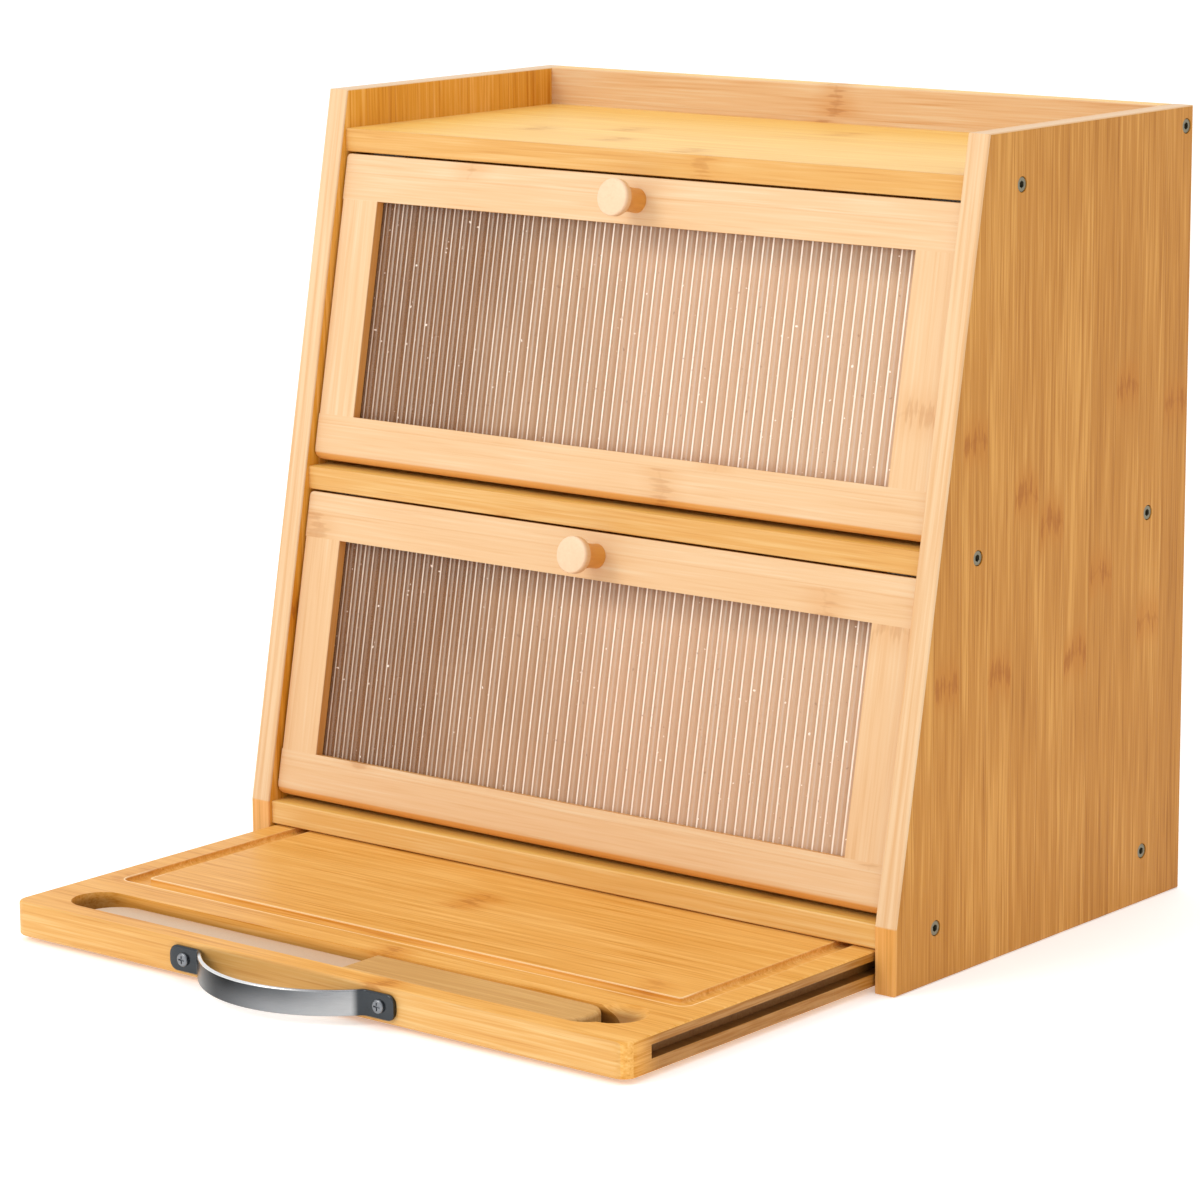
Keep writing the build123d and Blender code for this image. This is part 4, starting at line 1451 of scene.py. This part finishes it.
@dataclass
class CuttingBoard:
    """The pull-out board with its bow handle and knife.

    The bow's circle, carried on to the tabs' middle line, meets it knee_back short of the tab.
    """

    frame: dict
    strap_half: float = 1.0 * MM
    edge: float = 0.7 * MM
    tab_corner: float = 3.8 * MM
    bend: float = 4.0 * MM
    tab_length: float = 16.5 * MM
    knee_back: float = 0.79 * MM
    tab_points: int = 12
    bow_points: int = 44
    edge_points: int = 5

    def build(self) -> None:
        """Dress the board and the knife, and bend the handle."""
        low, high = (tuple(float(c) for c in corner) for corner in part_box("board"))
        dress(self.frame, ["board"], BoardBamboo(
            "board_bamboo", BUTTER, Lay.FLAT, seed=21.0, end_beyond=0.1777, roughness_shift=0.05,
            strip_width=0.030, strip_contrast=0.16, fibre_contrast=0.9, cloud=0.45,
            front=low[1], low=low, high=high))
        self.bend_handle()
        dress(self.frame, ["handle_screws"], Steel("handle_screw_steel", "8A8E94", 0.3))
        dress(self.frame, ["knife_blade"], Steel(
            "blade_steel", "E6CDB2", 0.45, brushing=(30.0, 2.0, 2.0), metallic=0.6))
        dress(self.frame, ["knife_handle"], Bamboo(
            "grip_bamboo", TAN, Lay.FLAT, seed=33.0, strip_width=0.026, knot_strength=0.4,
            strip_contrast=0.1, fibre_contrast=0.6, roughness_shift=0.08))

    def half_path(self, back: float, crown: float, end: float) -> tuple[np.ndarray, np.ndarray]:
        """The strap's middle line from its end to the crown, about x = 0.

        It runs straight along the board, turns out through a bend of radius b and follows a
        circle of radius R. The bend's centre lies b in front of the tab and R + b from the
        circle's centre.

        Args:
            back: y of the tab's middle line.
            crown: y of the crown's middle line.
            end: x of the tab's end, below zero.

        Returns:
            Points, n by 2, and the directions along the path, n by 2.
        """
        reach = -end - self.tab_length - self.knee_back
        drop = back - crown
        radius = (reach ** 2 + drop ** 2) / (2 * drop)
        middle = np.array([0.0, crown + radius])
        knee_y = back - self.bend
        knee_x = -math.sqrt((radius + self.bend) ** 2 - (middle[1] - knee_y) ** 2)
        knee = np.array([knee_x, knee_y])
        touch = math.atan2(middle[1] - knee_y, -knee_x)
        turn = np.linspace(0.0, QUARTER_TURN, self.tab_points)
        rounded = end + self.tab_corner * (1 - np.cos(turn))
        straight = np.linspace(rounded[-1], knee_x, self.tab_points)[1:]
        x = np.concatenate([rounded, straight])
        flat = np.stack([x, np.full_like(x, back)], axis=-1)
        angle = np.linspace(QUARTER_TURN, touch, self.tab_points)[1:]
        bend = knee + self.bend * np.stack([np.cos(angle), np.sin(angle)], axis=-1)
        sweep = np.linspace(np.pi + touch, 3 * QUARTER_TURN, self.bow_points)[1:]
        arc = middle + radius * np.stack([np.cos(sweep), np.sin(sweep)], axis=-1)
        points = np.concatenate([flat, bend, arc])
        along = np.concatenate([
            np.tile([1.0, 0.0], (len(flat), 1)),
            np.stack([np.sin(angle), -np.cos(angle)], axis=-1),
            np.stack([-np.sin(sweep), np.cos(sweep)], axis=-1),
        ])
        return points, along

    def bend_handle(self) -> None:
        """Bend the strap: half the path, then its mirror image, with a rounded section.

        The section's half height is h - c + sqrt(c^2 - (c - d)^2) at a distance d from an end,
        under the corner's radius c, and h elsewhere.
        """
        low, high = (np.array(corner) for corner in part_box("bow_handle"))
        middle = (low + high) / 2
        back, crown = high[1] - self.strap_half, low[1] + self.strap_half
        points, along = self.half_path(back, crown, low[0] - middle[0])
        flip = np.array([-1.0, 1.0])
        path = np.concatenate([points, points[-2::-1] * flip])
        heading = np.concatenate([along, along[-2::-1] * -flip])
        gap = np.minimum(path[:, 0] - path[0, 0], path[-1, 0] - path[:, 0])
        short = np.clip(self.tab_corner - gap, 0.0, self.tab_corner)
        half = (high[2] - low[2]) / 2
        tall = half - self.tab_corner + np.sqrt(self.tab_corner ** 2 - short ** 2)
        turn = np.linspace(0.0, QUARTER_TURN, self.edge_points)
        quarter = np.stack([np.cos(turn), np.sin(turn)], axis=-1)
        signs = np.array([[1, 1], [-1, 1], [-1, -1], [1, -1]], float)
        rings = []
        for index, sign in enumerate(signs):
            corner = quarter if index % 2 == 0 else quarter[::-1]
            across = sign[0] * (self.strap_half - self.edge + self.edge * corner[:, 0])
            above = sign[1] * (tall[:, None] - self.edge + self.edge * corner[None, :, 1])
            rings.append(np.stack(np.broadcast_arrays(across[None], above), axis=-1))
        section = np.concatenate(rings, axis=1)
        line = np.column_stack([path[:, 0] + middle[0], path[:, 1], np.full(len(path), middle[2])])
        outward = np.column_stack([heading[:, 1], -heading[:, 0], np.zeros(len(path))])
        # the bow's steel: painted reflections dark at the left and pale at the right, and a painted
        # highlight along its top edge
        finish = Steel(
            "bow_steel", "8A8E94", 0.16, brushing=(1.0, 1.0, 30.0),
            painted_reflections=((0.0, "484C50"), (0.143, "43474B"), (0.15, "101213"), (0.42, "191B1D"),
                    (0.66, "66696C"), (0.845, "A4A6A9"), (0.86, "44484C"), (1.0, "484C50")),
            foot_painted_reflections=((0.0, "484C50"), (0.143, "43474B"), (0.15, "1E2022"), (0.36, "3E4043"),
                         (0.60, "9A9C9F"), (0.845, "BCBEC0"), (0.86, "44484C"), (1.0, "484C50")),
            highlight_span=(0.86, 0.55), span=(float(low[0]), float(high[0])),
            rise=(float(low[2]), float(high[2])))
        strap = carried("bent_bow_handle", line, outward, section, finish.material())
        seat(recalculated(strap), "cutting_board", "bow_steel", "bow_handle")


@dataclass
class Studio:
    """A pale floor, soft lights and the camera at the photograph's angle.

    The camera's place, angles and focal length come from the fit of the photograph's perspective.
    """

    place: tuple[float, float, float] = (1.26433, -1.52753, 0.55560)
    yaw: float = math.radians(39.308)
    pitch: float = math.radians(11.612)
    roll: float = math.radians(-0.408)
    focal: float = 4471.86  # in pixels of the 1200-pixel frame
    frame_pixels: float = 1200.0
    sensor_width: float = 36.0  # in millimetres, as the lens is
    sight: float = 50.0  # how far the camera sees
    floor_size: float = 80.0
    floor_drop: float = 0.2 * MM
    floor_tones: tuple[float, float] = (0.955, 0.97)
    floor_glow: float = 0.26
    aim: tuple[float, float, float] = (0.0, 0.0, 0.16)

    def camera(self) -> None:
        """Place the camera: it looks along the yaw, turned down by the pitch."""
        ahead = Vector((
            -math.sin(self.yaw) * math.cos(self.pitch),
            math.cos(self.yaw) * math.cos(self.pitch),
            -math.sin(self.pitch),
        ))
        level = Vector((math.cos(self.yaw), math.sin(self.yaw), 0.0))
        up = level.cross(ahead)
        right = math.cos(self.roll) * level + math.sin(self.roll) * up
        top = -math.sin(self.roll) * level + math.cos(self.roll) * up
        turn = Matrix((right, top, -ahead)).transposed().to_4x4()
        data = bpy.data.cameras.new("camera")
        data.sensor_width = self.sensor_width
        data.lens = self.sensor_width * self.focal / self.frame_pixels
        data.clip_end = self.sight
        camera = bpy.data.objects.new("camera", data)
        camera.matrix_world = Matrix.Translation(self.place) @ turn
        bpy.context.scene.collection.objects.link(camera)
        bpy.context.scene.camera = camera

    def light(
        self, name: str, place: Sequence[float], target: Sequence[float],
        size: float, power: float, color: str,
    ) -> None:
        """Add a square area light.

        Args:
            name: the light's name.
            place: where it hangs.
            target: the point that it is aimed at.
            size: length of its side.
            power: in watts.
            color: its display colour.
        """
        data = bpy.data.lights.new(name, "AREA")
        data.size = size
        data.energy = power
        data.color = rgb(color)[:3]
        lamp = bpy.data.objects.new(name, data)
        lamp.location = place
        aim = Vector(target) - Vector(place)
        lamp.rotation_euler = aim.to_track_quat("-Z", "Y").to_euler()
        bpy.context.scene.collection.objects.link(lamp)

    def build(self) -> None:
        """Set up floor, world, lights, camera and the plain display transform."""
        below = (0.0, 0.0, -self.floor_drop)
        bpy.ops.mesh.primitive_plane_add(size=self.floor_size, location=below)
        floor = bpy.context.object
        floor.name = "floor"
        material, g, surface = principled("pale_floor")
        cloud = g.noise(g.add("TexCoord").outputs["Object"], 3.0, 2.0)
        shade = g.mix(cloud, *((tone, tone, tone, 1.0) for tone in self.floor_tones))
        g.tree.links.new(shade, surface.inputs["Base Color"])
        surface.inputs["Roughness"].default_value = 0.8
        surface.inputs["Emission Color"].default_value = WHITE
        surface.inputs["Emission Strength"].default_value = self.floor_glow
        floor.data.materials.append(material)
        world = bpy.data.worlds.new("studio")
        world.use_nodes = True
        background = world.node_tree.nodes["Background"]
        background.inputs["Color"].default_value = WHITE
        background.inputs["Strength"].default_value = 1.0
        bpy.context.scene.world = world
        self.light("key", (-0.75, -1.9, 1.5), self.aim, size=1.0, power=18.0, color="FFF8EE")
        self.light("top", (0.2, 0.3, 2.2), self.aim, size=1.2, power=5.0, color="FFFFFF")
        self.camera()
        bpy.context.scene.view_settings.view_transform = "Standard"
        bpy.context.scene.view_settings.look = "None"


def main() -> None:
    """Build the looks in order."""
    logging.basicConfig(level=logging.INFO, format="%(message)s")
    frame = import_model()
    builders = (
        Carcass(frame),
        Door(frame, "upper_door", 40.0),
        Door(frame, "lower_door", 60.0),
        CuttingBoard(frame),
        Studio(),
    )
    for builder in builders:
        builder.build()
        LOG.info("built %s", type(builder).__name__)


if __name__ == "__main__":
    main()
